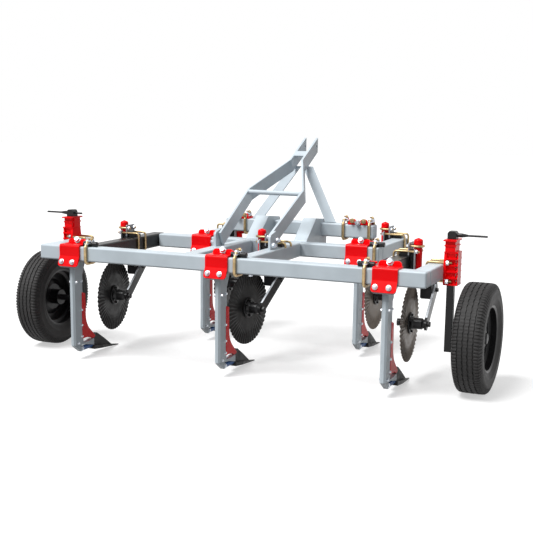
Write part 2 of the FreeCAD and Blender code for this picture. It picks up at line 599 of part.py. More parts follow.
def post():
    """Upright post with a domed cap, bored from below for the head's pin."""
    r, cap = d["post_radius"], d["post_cap_high"]
    base, top = post_foot, post_top
    bore = d["kingpin_radius"] + d["running_gap"]
    depth = d["kingpin_long"] + 5
    points = [(base, bore, 0), (base, r, 0), (top - cap, r, 0), (top - cap, r + 3, 2), (top - 12, r + 1, 12),
              (top, 0, 0), (base + depth, 0, 0), (base + depth, bore, 0)]
    body = revolved("Post", points)
    body.Placement = Placement(Vector(), Rotation(Vector(0, 1, 0), -90))
    return body


def coulter_head():
    """Head plate with its pin, side block, trailing arm and spindle, about the post's axis."""
    r, foot, flange = d["post_radius"], post_foot - d["seat_gap"], d["head_flange"]
    inner = d["arm_offset"] - d["arm_thick"] / 2
    pin = doc.addObject("Part::Cylinder", "Kingpin")
    pin.setExpression("Radius", "Sizes.kingpin_radius")
    pin.Height = d["kingpin_long"] + d["seat_gap"]
    moved(pin, 0, 0, foot)
    plate_body = plate("HeadPlate", "XY_Plane", outline([
        (-r - 6, -r - 6, 14), (inner, -r - 6, 6), (inner, r + 50, 6), (20, r + 50, 14), (-r - 6, r + 6, 14)]),
        flange, foot - flange / 2)
    block = plate("HeadBlock", "XZ_Plane", outline([
        (25, foot - flange, 0), (25, foot - flange - 100, 12), (inner, foot - flange - 100, 4),
        (inner, foot - flange, 0)]), 90, -35)
    tilt = math.radians(arm_slope)
    axle_y, axle_z = -d["coulter_trail"], d["coulter_axle"]
    reach = (d["coulter_trail"] + d["arm_lead"]) / math.cos(tilt)
    half = d["arm_wide"] / 2
    arm = plate("Arm", "YZ_Plane", outline([
        (-half, -half, half * 0.6), (reach, -half, 12), (reach, half, 12), (-half, half, half * 0.6)]),
        "arm_thick")
    arm.Placement = Placement(Vector(d["arm_offset"], axle_y, axle_z), Rotation(Vector(1, 0, 0), arm_slope))
    spindle = doc.addObject("Part::Cylinder", "Spindle")
    spindle.setExpression("Radius", "Sizes.spindle_radius")
    spindle.Height = d["arm_offset"] + 62
    moved(spindle, -62, axle_y, axle_z, Rotation(Vector(0, 1, 0), 90))
    nut = doc.addObject("Part::Cylinder", "SpindleNut")
    nut.Radius = 24
    nut.Height = 18
    moved(nut, -80, axle_y, axle_z, Rotation(Vector(0, 1, 0), 90))
    return fused("CoulterHead", [pin, plate_body, block, arm, spindle, nut])


def coulter_disc():
    """Disc with a bossed hub, about the X axis."""
    bore = d["spindle_radius"] + d["running_gap"]
    hub, t, edge = d["hub_radius"], d["disc_thick"] / 2, d["disc_radius"]
    left, right = -60 + d["seat_gap"], d["arm_offset"] - d["arm_thick"] / 2 - d["seat_gap"]
    points = [(left, bore, 0), (left, hub * 0.8, 3), (left + 30, hub * 0.8, 3), (-14, hub + 4, 0),
              (-t - 6, hub + 30, 0), (-t, hub + 34, 0), (-t, edge - 26, 0), (0, edge, 0), (t, edge - 26, 0),
              (t, hub + 34, 0), (t + 6, hub + 30, 0), (18, hub + 4, 0), (30, hub, 0), (right - 16, hub, 3),
              (right, hub - 6, 3), (right, bore, 0)]
    return revolved("CoulterDisc", points)


def post_clamp(number, side):
    """Block between a coulter post and the frame member beside it, bored for the post."""
    x_post = COULTERS[number - 1][1]
    gap = abs(member_x[number] - x_post)
    r, high = d["post_radius"], d["tube_side"] + d["post_block_rise"]
    block = plate("PostClamp", "XY_Plane", outline([
        (side * 6, -r - 12, 0), (side * gap, -r - 12, 0), (side * gap, r + 12, 0), (side * 6, r + 12, 0)][::side]),
        high, bar_under + high / 2)
    pocket(block, "XY_Plane", circle(0, 0, r), high + 2, bar_under + high / 2)
    return block


posts, post_clamps = [], []
for number, x, bar_y, lead, swivel, side in COULTERS:
    y = bar_y + lead
    upright = post()
    upright.Placement = Placement(Vector(x, y, 0), upright.Placement.Rotation)
    posts.append(upright)
    post_clamps.append(moved(post_clamp(number, side), x, y))
    turned = Placement(Vector(x, y, 0), Rotation(Vector(0, 0, 1), swivel))
    keep(coulter_head(), "coulter_arm_%d" % number, turned)
    at_axle = Placement(Vector(0, -d["coulter_trail"], d["coulter_axle"]), Rotation())
    keep(coulter_disc(), "coulter_disc_%d" % number, turned.multiply(at_axle))
keep(gathered("CoulterPosts", posts), "coulter_posts")
keep(gathered("PostClamps", post_clamps), "coulter_post_clamps")

# Screw jacks, wheel legs and wheels
leg_inside = d["leg_side"] / 2 + d["slide_gap"]
leg_offset = d["rear_bar_length"] / 2 + d["jack_plate"] + leg_inside
wheel_reach = d["wheel_offset"] - leg_offset


def square(half, corner):
    return [(-half, -half, corner), (half, -half, corner), (half, half, corner), (-half, half, corner)]


def jack(sign):
    """Casting that guides the wheel leg: two flanges with ribs between, a neck and a top flange."""
    low, shoulder, high, web = jack_low, jack_shoulder, jack_high, d["jack_web"]
    back, wall = -leg_inside - d["jack_plate"], leg_inside + d["jack_wall"]
    reach, half = d["jack_reach"], d["jack_half"]
    middle = (shoulder + high) / 2
    # Blocks: name, x from the leg's axis outwards, y, z, each as (from, to)
    blocks = [
        ("Housing", (back, wall), (-wall, wall), (low, high)),
        ("OuterFlange", (reach - web, reach), (14 - half, half - 14), (low, shoulder)),
        ("Neck", (-wall, wall), (4 - half, half - 4), (shoulder, high)),
        ("NeckRib", (-wall - 5, wall + 5), (-half, half), (middle - web / 2, middle + web / 2)),
        ("TopFlange", (-wall - 9, wall + 9), (-half - 14, half + 14), (high - web, high)),
    ]
    ribs = 6
    for i in range(ribs):
        z = low + i * (shoulder - low - web) / (ribs - 1)
        blocks.append(("Rib", (back, reach), (6 - half, half - 6), (z, z + web)))
    flange = [(-half, low, 12), (half, low, 12), (half, bar_top + 8, 12), (half - 12, shoulder, 0),
              (12 - half, shoulder, 0), (-half, bar_top + 8, 12)]
    body = plate("Jack", "YZ_Plane", outline(flange), "jack_plate", sign * (back + d["jack_plate"] / 2))
    for name, x, y, z in blocks:
        corners = [(sign * x[0], y[0], 0), (sign * x[1], y[0], 0), (sign * x[1], y[1], 0), (sign * x[0], y[1], 0)]
        plate(name, "XY_Plane", outline(corners), z[1] - z[0], (z[0] + z[1]) / 2, body)
    cut_high = high - low - web
    return pocket(body, "XY_Plane", outline(square(leg_inside, 2)), cut_high + 1, low + cut_high / 2 - 0.5)


def crank(sign):
    """Chamfered head of the jack screw with its handle, pushed right through it to the outside on the right."""
    half, high, base = d["crank_head_wide"] / 2, d["crank_head_high"], jack_high
    head = plate("CrankHead", "XZ_Plane", outline([
        (-half, base, 0), (half, base, 0), (half, base + high - 12, 0), (half - 10, base + high, 0),
        (10 - half, base + high, 0), (-half, base + high - 12, 0)]), "crank_head_wide")
    bar, long, short = d["crank_bar"], d["crank_reach"], d["crank_short"]
    inner = [(0, 0, 0)] if sign > 0 else [(-short, 0, 0), (-short, bar, 0), (0, bar, 0)]
    handle = revolved("CrankHandle", inner + [(0, 2 * bar, 0), (half + 30, 2 * bar, 0), (half + 70, bar, 0),
                                              (long, bar, 0), (long, 0, 0)])
    moved(handle, 0, 0, base + high / 2, Rotation(Vector(0, 0, 1), 0 if sign > 0 else 180))
    return fused("Crank", [head, handle])


def wheel_leg(sign):
    """Square leg with the stub axle that carries the wheel."""
    axle = d["tyre_radius"]
    high = d["leg_below_axle"] + d["leg_above_axle"]
    body = plate("WheelLeg", "XY_Plane", outline(square(d["leg_side"] / 2, 3)), high,
                 axle - d["leg_below_axle"] + high / 2)
    reach = wheel_reach + 40
    plate("StubAxle", "YZ_Plane", circle(0, axle, d["axle_radius"]), reach, sign * reach / 2, body)
    return body


def rim():
    """Steel wheel with a drop centre, disc and hub, about the X axis with its outer side to +X."""
    r, w = d["rim_radius"], d["rim_wide"] / 2
    bore, hub, wall = d["axle_radius"] + d["running_gap"], d["wheel_hub_radius"], d["rim_wall"]
    well = r - d["rim_well"]
    barrel = [(-w, r + 8, 0), (-w + 10, r, 0), (-w + 50, r, 0), (-w + 60, well, 0), (24, well, 0), (36, r, 0),
              (w - 10, r, 0), (w, r + 8, 0)]
    under = [(w - wall, r - wall, 0), (36, r - wall, 0), (24, well - wall, 0)]
    disc = [(24, r * 0.64, 0), (6, r * 0.45, 0), (6, hub, 0), (42, hub, 0), (42, bore, 0), (-72, bore, 0),
            (-72, hub, 0), (-4, hub, 0), (-4, r * 0.46, 0), (14, r * 0.65, 0), (14, well - wall, 0)]
    rest = [(-w + 60, well - wall, 0), (-w + 50, r - wall, 0), (-w + wall, r - wall, 0)]
    return revolved("Rim", barrel + under + disc + rest)


def tyre():
    """Tyre on the rim's seat, drawn solid, about the X axis."""
    r, w, seat = d["tyre_radius"], d["tyre_wide"] / 2, d["rim_radius"] + 0.2
    bead = d["rim_wide"] / 2 - 12
    right = [(bead, seat, 0), (w, seat + 44, 0), (w, r - 40, 0), (w - 18, r, 0)]
    return revolved("Tyre", right + [(-x, v, corner) for x, v, corner in reversed(right)])


jacks, cranks = [], []
for side, sign in (("left", -1), ("right", 1)):
    leg_x = sign * leg_offset
    jacks.append(moved(jack(sign), leg_x, d["leg_ahead"]))
    cranks.append(moved(crank(sign), leg_x, d["leg_ahead"]))
    keep(wheel_leg(sign), "wheel_leg_" + side, Placement(Vector(leg_x, d["leg_ahead"], 0), Rotation()))
    outward = Rotation(Vector(0, 0, 1), 0 if sign > 0 else 180)
    at_wheel = Placement(Vector(sign * d["wheel_offset"], d["leg_ahead"], d["tyre_radius"]), outward)
    keep(rim(), "wheel_rim_" + side, at_wheel)
    keep(tyre(), "tyre_" + side, at_wheel)
keep(gathered("Jacks", jacks), "jacks")
keep(gathered("Cranks", cranks), "cranks")

doc.recompute()
for obj in doc.Objects:
    if "Invalid" in obj.State or "Error" in obj.State:
        raise RuntimeError("%s (%s) failed: %s" % (obj.Name, obj.Label, obj.State))
os.makedirs("parts", exist_ok=True)
for obj in SUB_PARTS:
    shape = obj.Shape
    if shape.isNull() or not shape.isValid():
        raise RuntimeError("%s has no valid shape" % obj.Label)
for obj in SUB_PARTS:
    obj.Shape.exportStep("parts/%s.step" % obj.Label)
print("%d sub-parts" % len(SUB_PARTS))
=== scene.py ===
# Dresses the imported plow: a material for every node, and the bolts, clamps, tread and ripples
# that its solids leave out.
import json
import math

import bmesh
import bpy
from bpy.props import FloatProperty, FloatVectorProperty, IntProperty, PointerProperty
from mathutils import Matrix, Vector


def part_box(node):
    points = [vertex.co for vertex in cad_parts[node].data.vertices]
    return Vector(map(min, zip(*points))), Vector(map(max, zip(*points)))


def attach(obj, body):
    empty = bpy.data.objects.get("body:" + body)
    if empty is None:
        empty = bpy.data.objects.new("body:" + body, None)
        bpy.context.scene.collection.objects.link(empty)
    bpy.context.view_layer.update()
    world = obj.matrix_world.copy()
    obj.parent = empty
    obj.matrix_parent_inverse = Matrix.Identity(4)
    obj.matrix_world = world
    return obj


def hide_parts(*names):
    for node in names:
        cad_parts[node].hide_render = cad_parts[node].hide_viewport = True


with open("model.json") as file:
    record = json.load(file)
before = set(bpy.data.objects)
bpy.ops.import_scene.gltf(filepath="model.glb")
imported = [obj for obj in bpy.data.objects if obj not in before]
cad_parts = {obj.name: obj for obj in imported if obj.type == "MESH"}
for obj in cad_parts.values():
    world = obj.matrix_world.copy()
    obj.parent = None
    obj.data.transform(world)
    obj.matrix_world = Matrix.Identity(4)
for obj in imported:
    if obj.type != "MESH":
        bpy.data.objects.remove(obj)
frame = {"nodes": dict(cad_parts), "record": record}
NODES = frame["nodes"]
JOINTS = {joint["name"]: joint for joint in frame["record"]["behaviour"]["joints"]}
SLOTS = {part["node"]: part["material_slot"] for part in frame["record"]["subparts"]}
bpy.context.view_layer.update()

bl_info = {
    "name": "Plow dressing",
    "version": (1, 0, 0),
    "blender": (4, 5, 0),
    "location": "3D View > Sidebar > Plow",
    "description": "Finishes and small pieces for a five-shank plow",
    "category": "Object",
}

UP = Vector((0, 0, 1))
RIGHT = Vector((1, 0, 0))
AHEAD = Vector((0, 1, 0))


def corners(node):
    low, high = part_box(node)
    return Vector(low), Vector(high)


def middle(node):
    low, high = corners(node)
    return (low + high) / 2


# Shader maths
class Value:
    """A shader socket on which Python's arithmetic adds Math nodes."""

    def __init__(self, finish, socket):
        self.finish, self.socket = finish, socket

    def math(self, operation, *others):
        return self.finish.node("ShaderNodeMath", {"operation": operation}, dict(enumerate((self,) + others)))

    def __add__(self, other):
        return self.math("ADD", other)

    def __rsub__(self, other):
        return self.finish.node("ShaderNodeMath", {"operation": "SUBTRACT"}, {0: other, 1: self})

    def __mul__(self, other):
        return self.math("MULTIPLY", other)

    __radd__, __rmul__ = __add__, __mul__


class Tree:
    """The nodes of a material or a world."""

    def __init__(self, owner):
        owner.use_nodes = True
        self.nodes, self.links = owner.node_tree.nodes, owner.node_tree.links

    def node(self, kind, settings, inputs, output=0):
        """Adds a node, makes its settings and fills its sockets, and gives back one of its outputs."""
        node = self.nodes.new(kind)
        for key, value in settings.items():
            setattr(node, key, value)
        for key, value in inputs.items():
            if isinstance(value, Value):
                self.links.new(value.socket, node.inputs[key])
            else:
                node.inputs[key].default_value = value
        return Value(self, node.outputs[output])

    def seen(self):
        """1 for rays that show the stage as it is: those of the camera, and those off gloss or through glass."""
        camera, gloss, glass = (self.node("ShaderNodeLightPath", {}, {}, "Is %s Ray" % kind)
                                for kind in ("Camera", "Glossy", "Transmission"))
        return camera.math("MAXIMUM", gloss).math("MAXIMUM", glass)


class Finish(Tree):
    """A node material round one Principled shader."""

    def __init__(self, name, colour, roughness, metallic=0.0, **fixed):
        self.material = bpy.data.materials.new(name)
        super().__init__(self.material)
        self.shader = self.nodes["Principled BSDF"]
        self.material.diffuse_color = (*colour, 1.0)
        settings = {"Base Color": (*colour, 1.0), "Roughness": roughness, "Metallic": metallic}
        settings.update(fixed)
        for socket, value in settings.items():
            self.shader.inputs[socket].default_value = value

    def place(self, scale):
        """Object coordinates in metres, stretched by scale."""
        metres = self.node("ShaderNodeTexCoord", {}, {}, "Object")
        return self.node("ShaderNodeVectorMath", {"operation": "MULTIPLY"}, {0: metres, 1: scale})

    def noise(self, per_metre, detail=3.0, roughness=0.5, scale=(1.0, 1.0, 1.0)):
        return self.node("ShaderNodeTexNoise", {}, {"Vector": self.place(scale), "Scale": per_metre,
                                                    "Detail": detail, "Roughness": roughness})

    def ramp(self, value, low, high):
        """0 below low and 1 above high, with a smooth step between."""
        return self.node("ShaderNodeMapRange", {"interpolation_type": "SMOOTHSTEP"},
                         {"Value": value, "From Min": low, "From Max": high})

    def mix(self, factor, first, second):
        """A colour between two colours."""
        sockets = {0: factor}
        for key, colour in ((6, first), (7, second)):
            sockets[key] = colour if isinstance(colour, Value) else (*colour, 1.0)
        return self.node("ShaderNodeMix", {"data_type": "RGBA"}, sockets, 2)

    def edges(self, radius):
        """About 1 on edges that stand out, and 0 on flat faces."""
        bevel = self.node("ShaderNodeBevel", {"samples": 4}, {"Radius": radius})
        normal = self.node("ShaderNodeNewGeometry", {}, {}, "Normal")
        along = self.node("ShaderNodeVectorMath", {"operation": "DOT_PRODUCT"}, {0: bevel, 1: normal}, "Value")
        return self.ramp(1.0 - along, 0.01, 0.12)

    def bump(self, height, depth):
        self.feed("Normal", self.node("ShaderNodeBump", {}, {"Height": height, "Distance": depth, "Strength": 1.0}))

    def feed(self, socket, value):
        self.links.new(value.socket, self.shader.inputs[socket])


# Filled by the operator for the finishes
FINISHES = {}


def shade(colour, factor):
    return tuple(min(1.0, c * factor) for c in colour)


# Mesh tools
def facing(at, normal, spin=0.0):
    """A place whose Z axis points along a normal, turned by spin about it."""
    turn = Vector(normal).to_track_quat("Z", "Y").to_matrix().to_4x4()
    return Matrix.Translation(Vector(at)) @ turn @ Matrix.Rotation(spin, 4, "Z")


def points_of(geometry):
    return [g for g in geometry if isinstance(g, bmesh.types.BMVert)]


def edges_between(verts):
    chosen = set(verts)
    return [e for e in {e for v in verts for e in v.link_edges} if e.verts[0] in chosen and e.verts[1] in chosen]


def soften(bm, edges, offset, segments=2):
    bmesh.ops.bevel(bm, geom=edges, offset=offset, segments=segments, affect="EDGES", profile=0.5, material=-1,
                    clamp_overlap=True)


def thicken(bm, face, run, bevel):
    """Pulls a face out along a run and bevels the rim of the new face."""
    top = points_of(bmesh.ops.extrude_face_region(bm, geom=[face])["geom"])
    bmesh.ops.translate(bm, verts=top, vec=run)
    if bevel:
        soften(bm, edges_between(top), bevel)


def drum(bm, place, radius, height, segments=24, bevel=0.0):
    """A round or six-sided boss that stands on a place's XY plane."""
    made = bmesh.ops.create_circle(bm, cap_ends=True, segments=segments, radius=radius, matrix=place)
    thicken(bm, made["verts"][0].link_faces[0], place.to_3x3() @ Vector((0, 0, height)), bevel)


def slab(bm, outline, place, thickness, rounding=0.0, bevel=0.001):
    """A flat plate with rounded corners whose outline lies in a place's XY plane."""
    verts = [bm.verts.new(place @ Vector((u, v, 0))) for u, v in outline]
    bm.faces.new(verts)
    if rounding:
        verts = bmesh.ops.bevel(bm, geom=verts, offset=rounding, segments=4, affect="VERTICES", profile=0.5,
                                material=-1, clamp_overlap=True)["verts"]
    face = verts[0].link_faces[0]
    face.normal_update()
    thicken(bm, face, place.to_3x3() @ Vector((0, 0, thickness)), bevel)


def bar(wide, high):
    return [(-wide / 2, -high / 2), (wide / 2, -high / 2), (wide / 2, high / 2), (-wide / 2, high / 2)]


def turned(bm, profile, place, steps=48):
    """Spins a closed outline of (along, radius, rounding) round a place's X axis."""
    verts = [bm.verts.new(place @ Vector((x, 0, r))) for x, r, rounding in profile]
    for first, second in zip(verts, verts[1:] + verts[:1]):
        bm.edges.new((first, second))
    for size in {rounding for x, r, rounding in profile if rounding}:
        chosen = [v for v, point in zip(verts, profile) if point[2] == size]
        bmesh.ops.bevel(bm, geom=chosen, offset=size, segments=3, affect="VERTICES", profile=0.5, material=-1)
    wires = [e for e in bm.edges if e.is_wire]
    ends = list({v for e in wires for v in e.verts})
    bmesh.ops.spin(bm, geom=ends + wires, cent=place.translation, axis=place.to_3x3() @ RIGHT, angle=2 * math.pi,
                   steps=steps, use_merge=True)


class Rod:
    """A round bar drawn by its moves, each made from the ring that the last one left."""

    def __init__(self, bm, at, heading, radius, segments=14):
        self.bm, self.at, self.heading = bm, Vector(at), Vector(heading).normalized()
        made = bmesh.ops.create_circle(bm, cap_ends=True, segments=segments, radius=radius,
                                       matrix=facing(self.at, self.heading))
        self.ring = edges_between(made["verts"])

    def straight(self, length, swell=1.0):
        verts = points_of(bmesh.ops.extrude_edge_only(self.bm, edges=self.ring)["geom"])
        bmesh.ops.translate(self.bm, verts=verts, vec=self.heading * length)
        self.at = self.at + self.heading * length
        if swell != 1.0:
            bmesh.ops.scale(self.bm, verts=verts, vec=(swell, swell, swell), space=Matrix.Translation(-self.at))
        self.ring = edges_between(verts)
        return self

    def bend(self, degrees, radius, toward, steps=6):
        angle, toward = math.radians(degrees), Vector(toward).normalized()
        axis = self.heading.cross(toward)
        centre = self.at + toward * radius
        made = bmesh.ops.spin(self.bm, geom=self.ring, cent=centre, axis=axis, angle=angle, steps=steps)
        self.ring = edges_between(points_of(made["geom_last"]))
        turn = Matrix.Rotation(angle, 3, axis)
        self.at, self.heading = centre + turn @ (self.at - centre), turn @ self.heading
        return self

    def thread(self, length, pitch=0.003, depth=0.88):
        for _ in range(round(length / pitch)):
            self.straight(pitch / 2, depth).straight(pitch / 2, 1 / depth)
        return self

    def end(self):
        bmesh.ops.edgeloop_fill(self.bm, edges=self.ring)


def hex_head(bm, at, normal, across, height=None, washer=True, spin=0.3, stud=0.0):
    """A hexagon head or nut on a washer, with a thread that stands out of it where stud is above zero."""
    normal = Vector(normal).normalized()
    lift = 0.0
    if washer:
        lift = across * 0.1
        drum(bm, facing(at, normal), across * 0.66, lift, 20, lift * 0.3)
    high = height or across * 0.6
    drum(bm, facing(Vector(at) + normal * lift, normal, spin), across / math.sqrt(3), high, 6, across * 0.06)
    if stud:
        rod = Rod(bm, Vector(at) + normal * (lift + high * 0.8), normal, across * 0.33, 12)
        rod.straight(high * 0.2).thread(stud).straight(0.001, 0.8).end()


class LeaningBolt:
    """A U-bolt under a bar whose two legs lean together above it, to a tab over the bar's middle."""
    lean, tip_gap, knee, sag, sag_radius, thread = math.radians(40), 0.014, 0.014, 0.013, 0.0285, 0.018
    tab_down, tab_wide, tab_past, tab_thick = 0.034, 0.030, 0.030, 0.007
    cross, cross_thick, nut, nut_high, nut_down, play = (0.052, 0.024), 0.006, 0.027, 0.014, 0.020, 0.0005

    def __init__(self, bm, tabs, x, low, high, radius):
        half, self.x, self.y = (high.y - low.y) / 2 + radius + self.play, x, (low.y + high.y) / 2
        down, across = math.cos(self.lean), math.sin(self.lean)
        run, cut, turn = (half - self.tip_gap) / across, self.knee * math.tan(self.lean / 2), high.z - 0.003
        self.top = turn + run * down
        leg = turn - cut - (low.z - self.sag) - self.sag_radius
        degrees = math.degrees(self.lean)
        rod = Rod(bm, (x, self.y - self.tip_gap, self.top), (0, -across, -down), radius)
        rod.thread(self.thread).straight(run - self.thread - cut)
        rod.bend(degrees, self.knee, (0, down, -across)).straight(leg).bend(90, self.sag_radius, AHEAD)
        rod.straight(2 * (half - self.sag_radius)).bend(90, self.sag_radius, UP).straight(leg)
        rod.bend(degrees, self.knee, -AHEAD).straight(run - self.thread - cut).thread(self.thread).end()
        self.tab(tabs)

    def tab(self, bm):
        """The tab that both legs pass through, with a cross bar and two nuts."""
        spread = self.tip_gap + self.tab_wide * math.tan(self.lean)
        place = Matrix.Translation((self.x, self.y, self.top - self.tab_down))
        slab(bm, bar(self.tab_wide, 2 * spread + self.tab_past), place, self.tab_thick, 0.010)
        lift = Matrix.Translation(UP * (self.tab_thick + 0.0001))
        slab(bm, bar(*self.cross), lift @ place, self.cross_thick, 0.008)
        for step in (-1, 1):
            tip = Vector((0, -step * math.sin(self.lean), math.cos(self.lean)))
            aside = step * (self.tip_gap + self.nut_down * math.tan(self.lean))
            at = (self.x, self.y + aside, self.top - self.nut_down)
            hex_head(bm, at, tip, self.nut, self.nut_high, washer=False, spin=0.5)


def domed_head(bm, at, normal, across):
    """A flanged hexagon head with a rounded top."""
    place = facing(at, normal)
    drum(bm, place, across * 0.66, across * 0.12, 28, across * 0.04)
    lift = Matrix.Translation(Vector(normal).normalized() * across * 0.12)
    drum(bm, lift @ facing(at, normal, 0.3), across / math.sqrt(3), across * 0.42, 6, across * 0.05)
    lift = Matrix.Translation(Vector(normal).normalized() * across * 0.54)
    drum(bm, lift @ place, across * 0.46, across * 0.10, 28, across * 0.09)


def to_object(bm, name, body, finish, smooth=35):
    """Makes a bmesh an object at the origin that rides on a body."""
    bmesh.ops.remove_doubles(bm, verts=bm.verts, dist=1e-6)
    bmesh.ops.recalc_face_normals(bm, faces=bm.faces)
    mesh = bpy.data.meshes.new(name)
    bm.to_mesh(mesh)
    bm.free()
    piece = bpy.data.objects.new(name, mesh)
    bpy.context.scene.collection.objects.link(piece)
    mesh.materials.append(FINISHES[finish].material)
    mesh.shade_smooth()
    mesh.set_sharp_from_angle(angle=math.radians(smooth))
    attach(piece, body)
    return piece


class Crate:
    """Pieces that belong together, sorted into one mesh for each finish and body."""

    def __init__(self, name):
        self.name, self.lots = name, {}

    def __call__(self, finish, body="frame"):
        if (finish, body) not in self.lots:
            self.lots[finish, body] = bmesh.new()
        return self.lots[finish, body]

    def unpack(self):
        for (finish, body), bm in self.lots.items():
            name = "_".join((self.name, finish) if body == "frame" else (self.name, finish, body))
            to_object(bm, name, body, finish)


# Material slot of each finish, and the finish of the solids in each slot
FINISH_OF_SLOT = {"silver_paint": "silver", "red_paint": "red", "black_paint": "black", "blue_paint": "blue",
                  "worn_steel": "share_steel", "tyre_rubber": "rubber"}


# Places on the machine
def shanks():
    """Number, place across, and the low and high corners of its bar, for each shank."""
    for number in range(1, 6):
        low, high = corners("rear_bar" if number % 2 else "mid_bar")
        yield number, middle("shank_%d" % number).x, low, high


HOLDERS = {1: ("outer_rail_left", 1), 2: ("coulter_stubs", -1), 3: ("centre_rail_right", 1), 4: ("coulter_stubs", 1),
           5: ("outer_rail_right", -1)}


def coulters():
    """Number, foot of the post, side of the tube that holds it (+1 to the right), near and far face of that tube."""
    for number, (node, side) in HOLDERS.items():
        low, high = corners(node)
        foot = Vector(JOINTS["coulter_swivel_%d" % number]["pos_m"])
        far = high.x if side > 0 else low.x
        near = far - side * (corners("rear_bar")[1].z - corners("rear_bar")[0].z)
        yield number, foot, side, near, far


# Sizes and colours that a user would change
class PlowFinishes(bpy.types.PropertyGroup):
    silver: FloatVectorProperty(name="Frame", description="Silver-grey paint of frame, mast and shanks",
                                subtype="COLOR", size=3, min=0, max=1, default=(0.55, 0.62, 0.67))
    red: FloatVectorProperty(name="Clamps", description="Red paint of clamps, guards, posts and jacks",
                             subtype="COLOR", size=3, min=0, max=1, default=(0.95, 0.001, 0.004))
    black: FloatVectorProperty(name="Arms", description="Black paint of arms, blocks, rims and legs",
                               subtype="COLOR", size=3, min=0, max=1, default=(0.008, 0.008, 0.009))
    blue: FloatVectorProperty(name="Heel blocks", description="Blue paint of the blocks that hold the shares",
                              subtype="COLOR", size=3, min=0, max=1, default=(0.03, 0.12, 0.36))
    zinc: FloatVectorProperty(name="U-bolts", description="Yellow zinc of the U-bolts",
                              subtype="COLOR", size=3, min=0, max=1, default=(0.52, 0.38, 0.20))
    steel: FloatVectorProperty(name="Discs", description="Bare steel of the newer discs",
                               subtype="COLOR", size=3, min=0, max=1, default=(0.17, 0.14, 0.115))
    peel: FloatProperty(name="Orange peel", description="Height of the ripples in the paint",
                        subtype="DISTANCE", default=0.00012, min=0.0, max=0.002, precision=5)
    edge: FloatProperty(name="Edge wear", description="How far wear reaches from an edge",
                        subtype="DISTANCE", default=0.004, min=0.0, max=0.02)


class PlowFasteners(bpy.types.PropertyGroup):
    clamp_rod: FloatProperty(name="Clamp U-bolt", description="Radius of the U-bolts beside the shank clamps",
                             subtype="DISTANCE", default=0.0105, min=0.004, max=0.02)
    clamp_u_offset: FloatProperty(name="U-bolt offset", description="U-bolt from the middle of its shank",
                                  subtype="DISTANCE", default=0.130, min=0.1, max=0.3)
    lip_bolt: FloatProperty(name="Lip bolt", description="Lip bolt's head across its flats",
                            subtype="DISTANCE", default=0.027, min=0.01, max=0.06)
    lip_spacing: FloatProperty(name="Lip bolts apart", description="Between the two lip bolts of a clamp",
                               subtype="DISTANCE", default=0.085, min=0.04, max=0.16)
    shaft_radius: FloatProperty(name="Wedge shaft", description="Black shaft on top of the bar",
                                subtype="DISTANCE", default=0.022, min=0.01, max=0.04)
    coulter_rod: FloatProperty(name="Coulter U-bolt", description="Radius of the coulters' U-bolts",
                               subtype="DISTANCE", default=0.0075, min=0.004, max=0.015)
    side_bolt: FloatProperty(name="Side bolt", description="Head of the bolts through a shank, across its flats",
                             subtype="DISTANCE", default=0.015, min=0.01, max=0.04)
    share_bolt: FloatProperty(name="Share bolt", description="Head of the bolt that draws a share back",
                              subtype="DISTANCE", default=0.027, min=0.01, max=0.04)
    jack_rod: FloatProperty(name="Jack U-bolt", description="Radius of the jacks' U-bolts",
                            subtype="DISTANCE", default=0.008, min=0.004, max=0.015)


class PlowDiscs(bpy.types.PropertyGroup):
    waves: IntProperty(name="Ripples", description="Ripples round one coulter disc", default=50, min=8, max=80)
    depth: FloatProperty(name="Ripple depth", description="Reach of a ripple to each side",
                         subtype="DISTANCE", default=0.0030, min=0.0, max=0.02)
    start: FloatProperty(name="Ripples begin", description="Radius where the ripples begin",
                         subtype="DISTANCE", default=0.145, min=0.05, max=0.25)
    bolts: IntProperty(name="Hub bolts", description="Bolts of the hub's flange", default=6, min=3, max=12)


class PlowTyres(bpy.types.PropertyGroup):
    groove: FloatProperty(name="Groove", description="Depth of the grooves between the ribs",
                          subtype="DISTANCE", default=0.008, min=0.0, max=0.02)
    zigzag: FloatProperty(name="Zigzag", description="Reach of the grooves' zigzag to each side",
                          subtype="DISTANCE", default=0.0022, min=0.0, max=0.01)
    teeth: IntProperty(name="Zigzags", description="Zigzags round the tyre", default=50, min=8, max=90)
    slots: IntProperty(name="Shoulder slots", description="Slots round each shoulder", default=100, min=20, max=200)
    nuts: IntProperty(name="Wheel nuts", description="Nuts that hold the rim", default=5, min=3, max=10)


class PlowStage(bpy.types.PropertyGroup):
    sky: FloatProperty(name="Sky", description="Strength of the light from all round", default=0.45, min=0.0, max=2.0)
    sun: FloatProperty(name="Sun lamp", description="Strength of the lamp above", default=3.4, min=0.0, max=10.0)
    spread: FloatProperty(name="Softness", description="Angle that the lamp above takes up in the sky",
                          subtype="ANGLE", default=0.45, min=0.0, max=1.5)
    toward: FloatVectorProperty(name="Lamp's direction", description="Direction in which the lamp shines",
                                subtype="DIRECTION", size=3, default=(0.28, 0.47, -0.84))


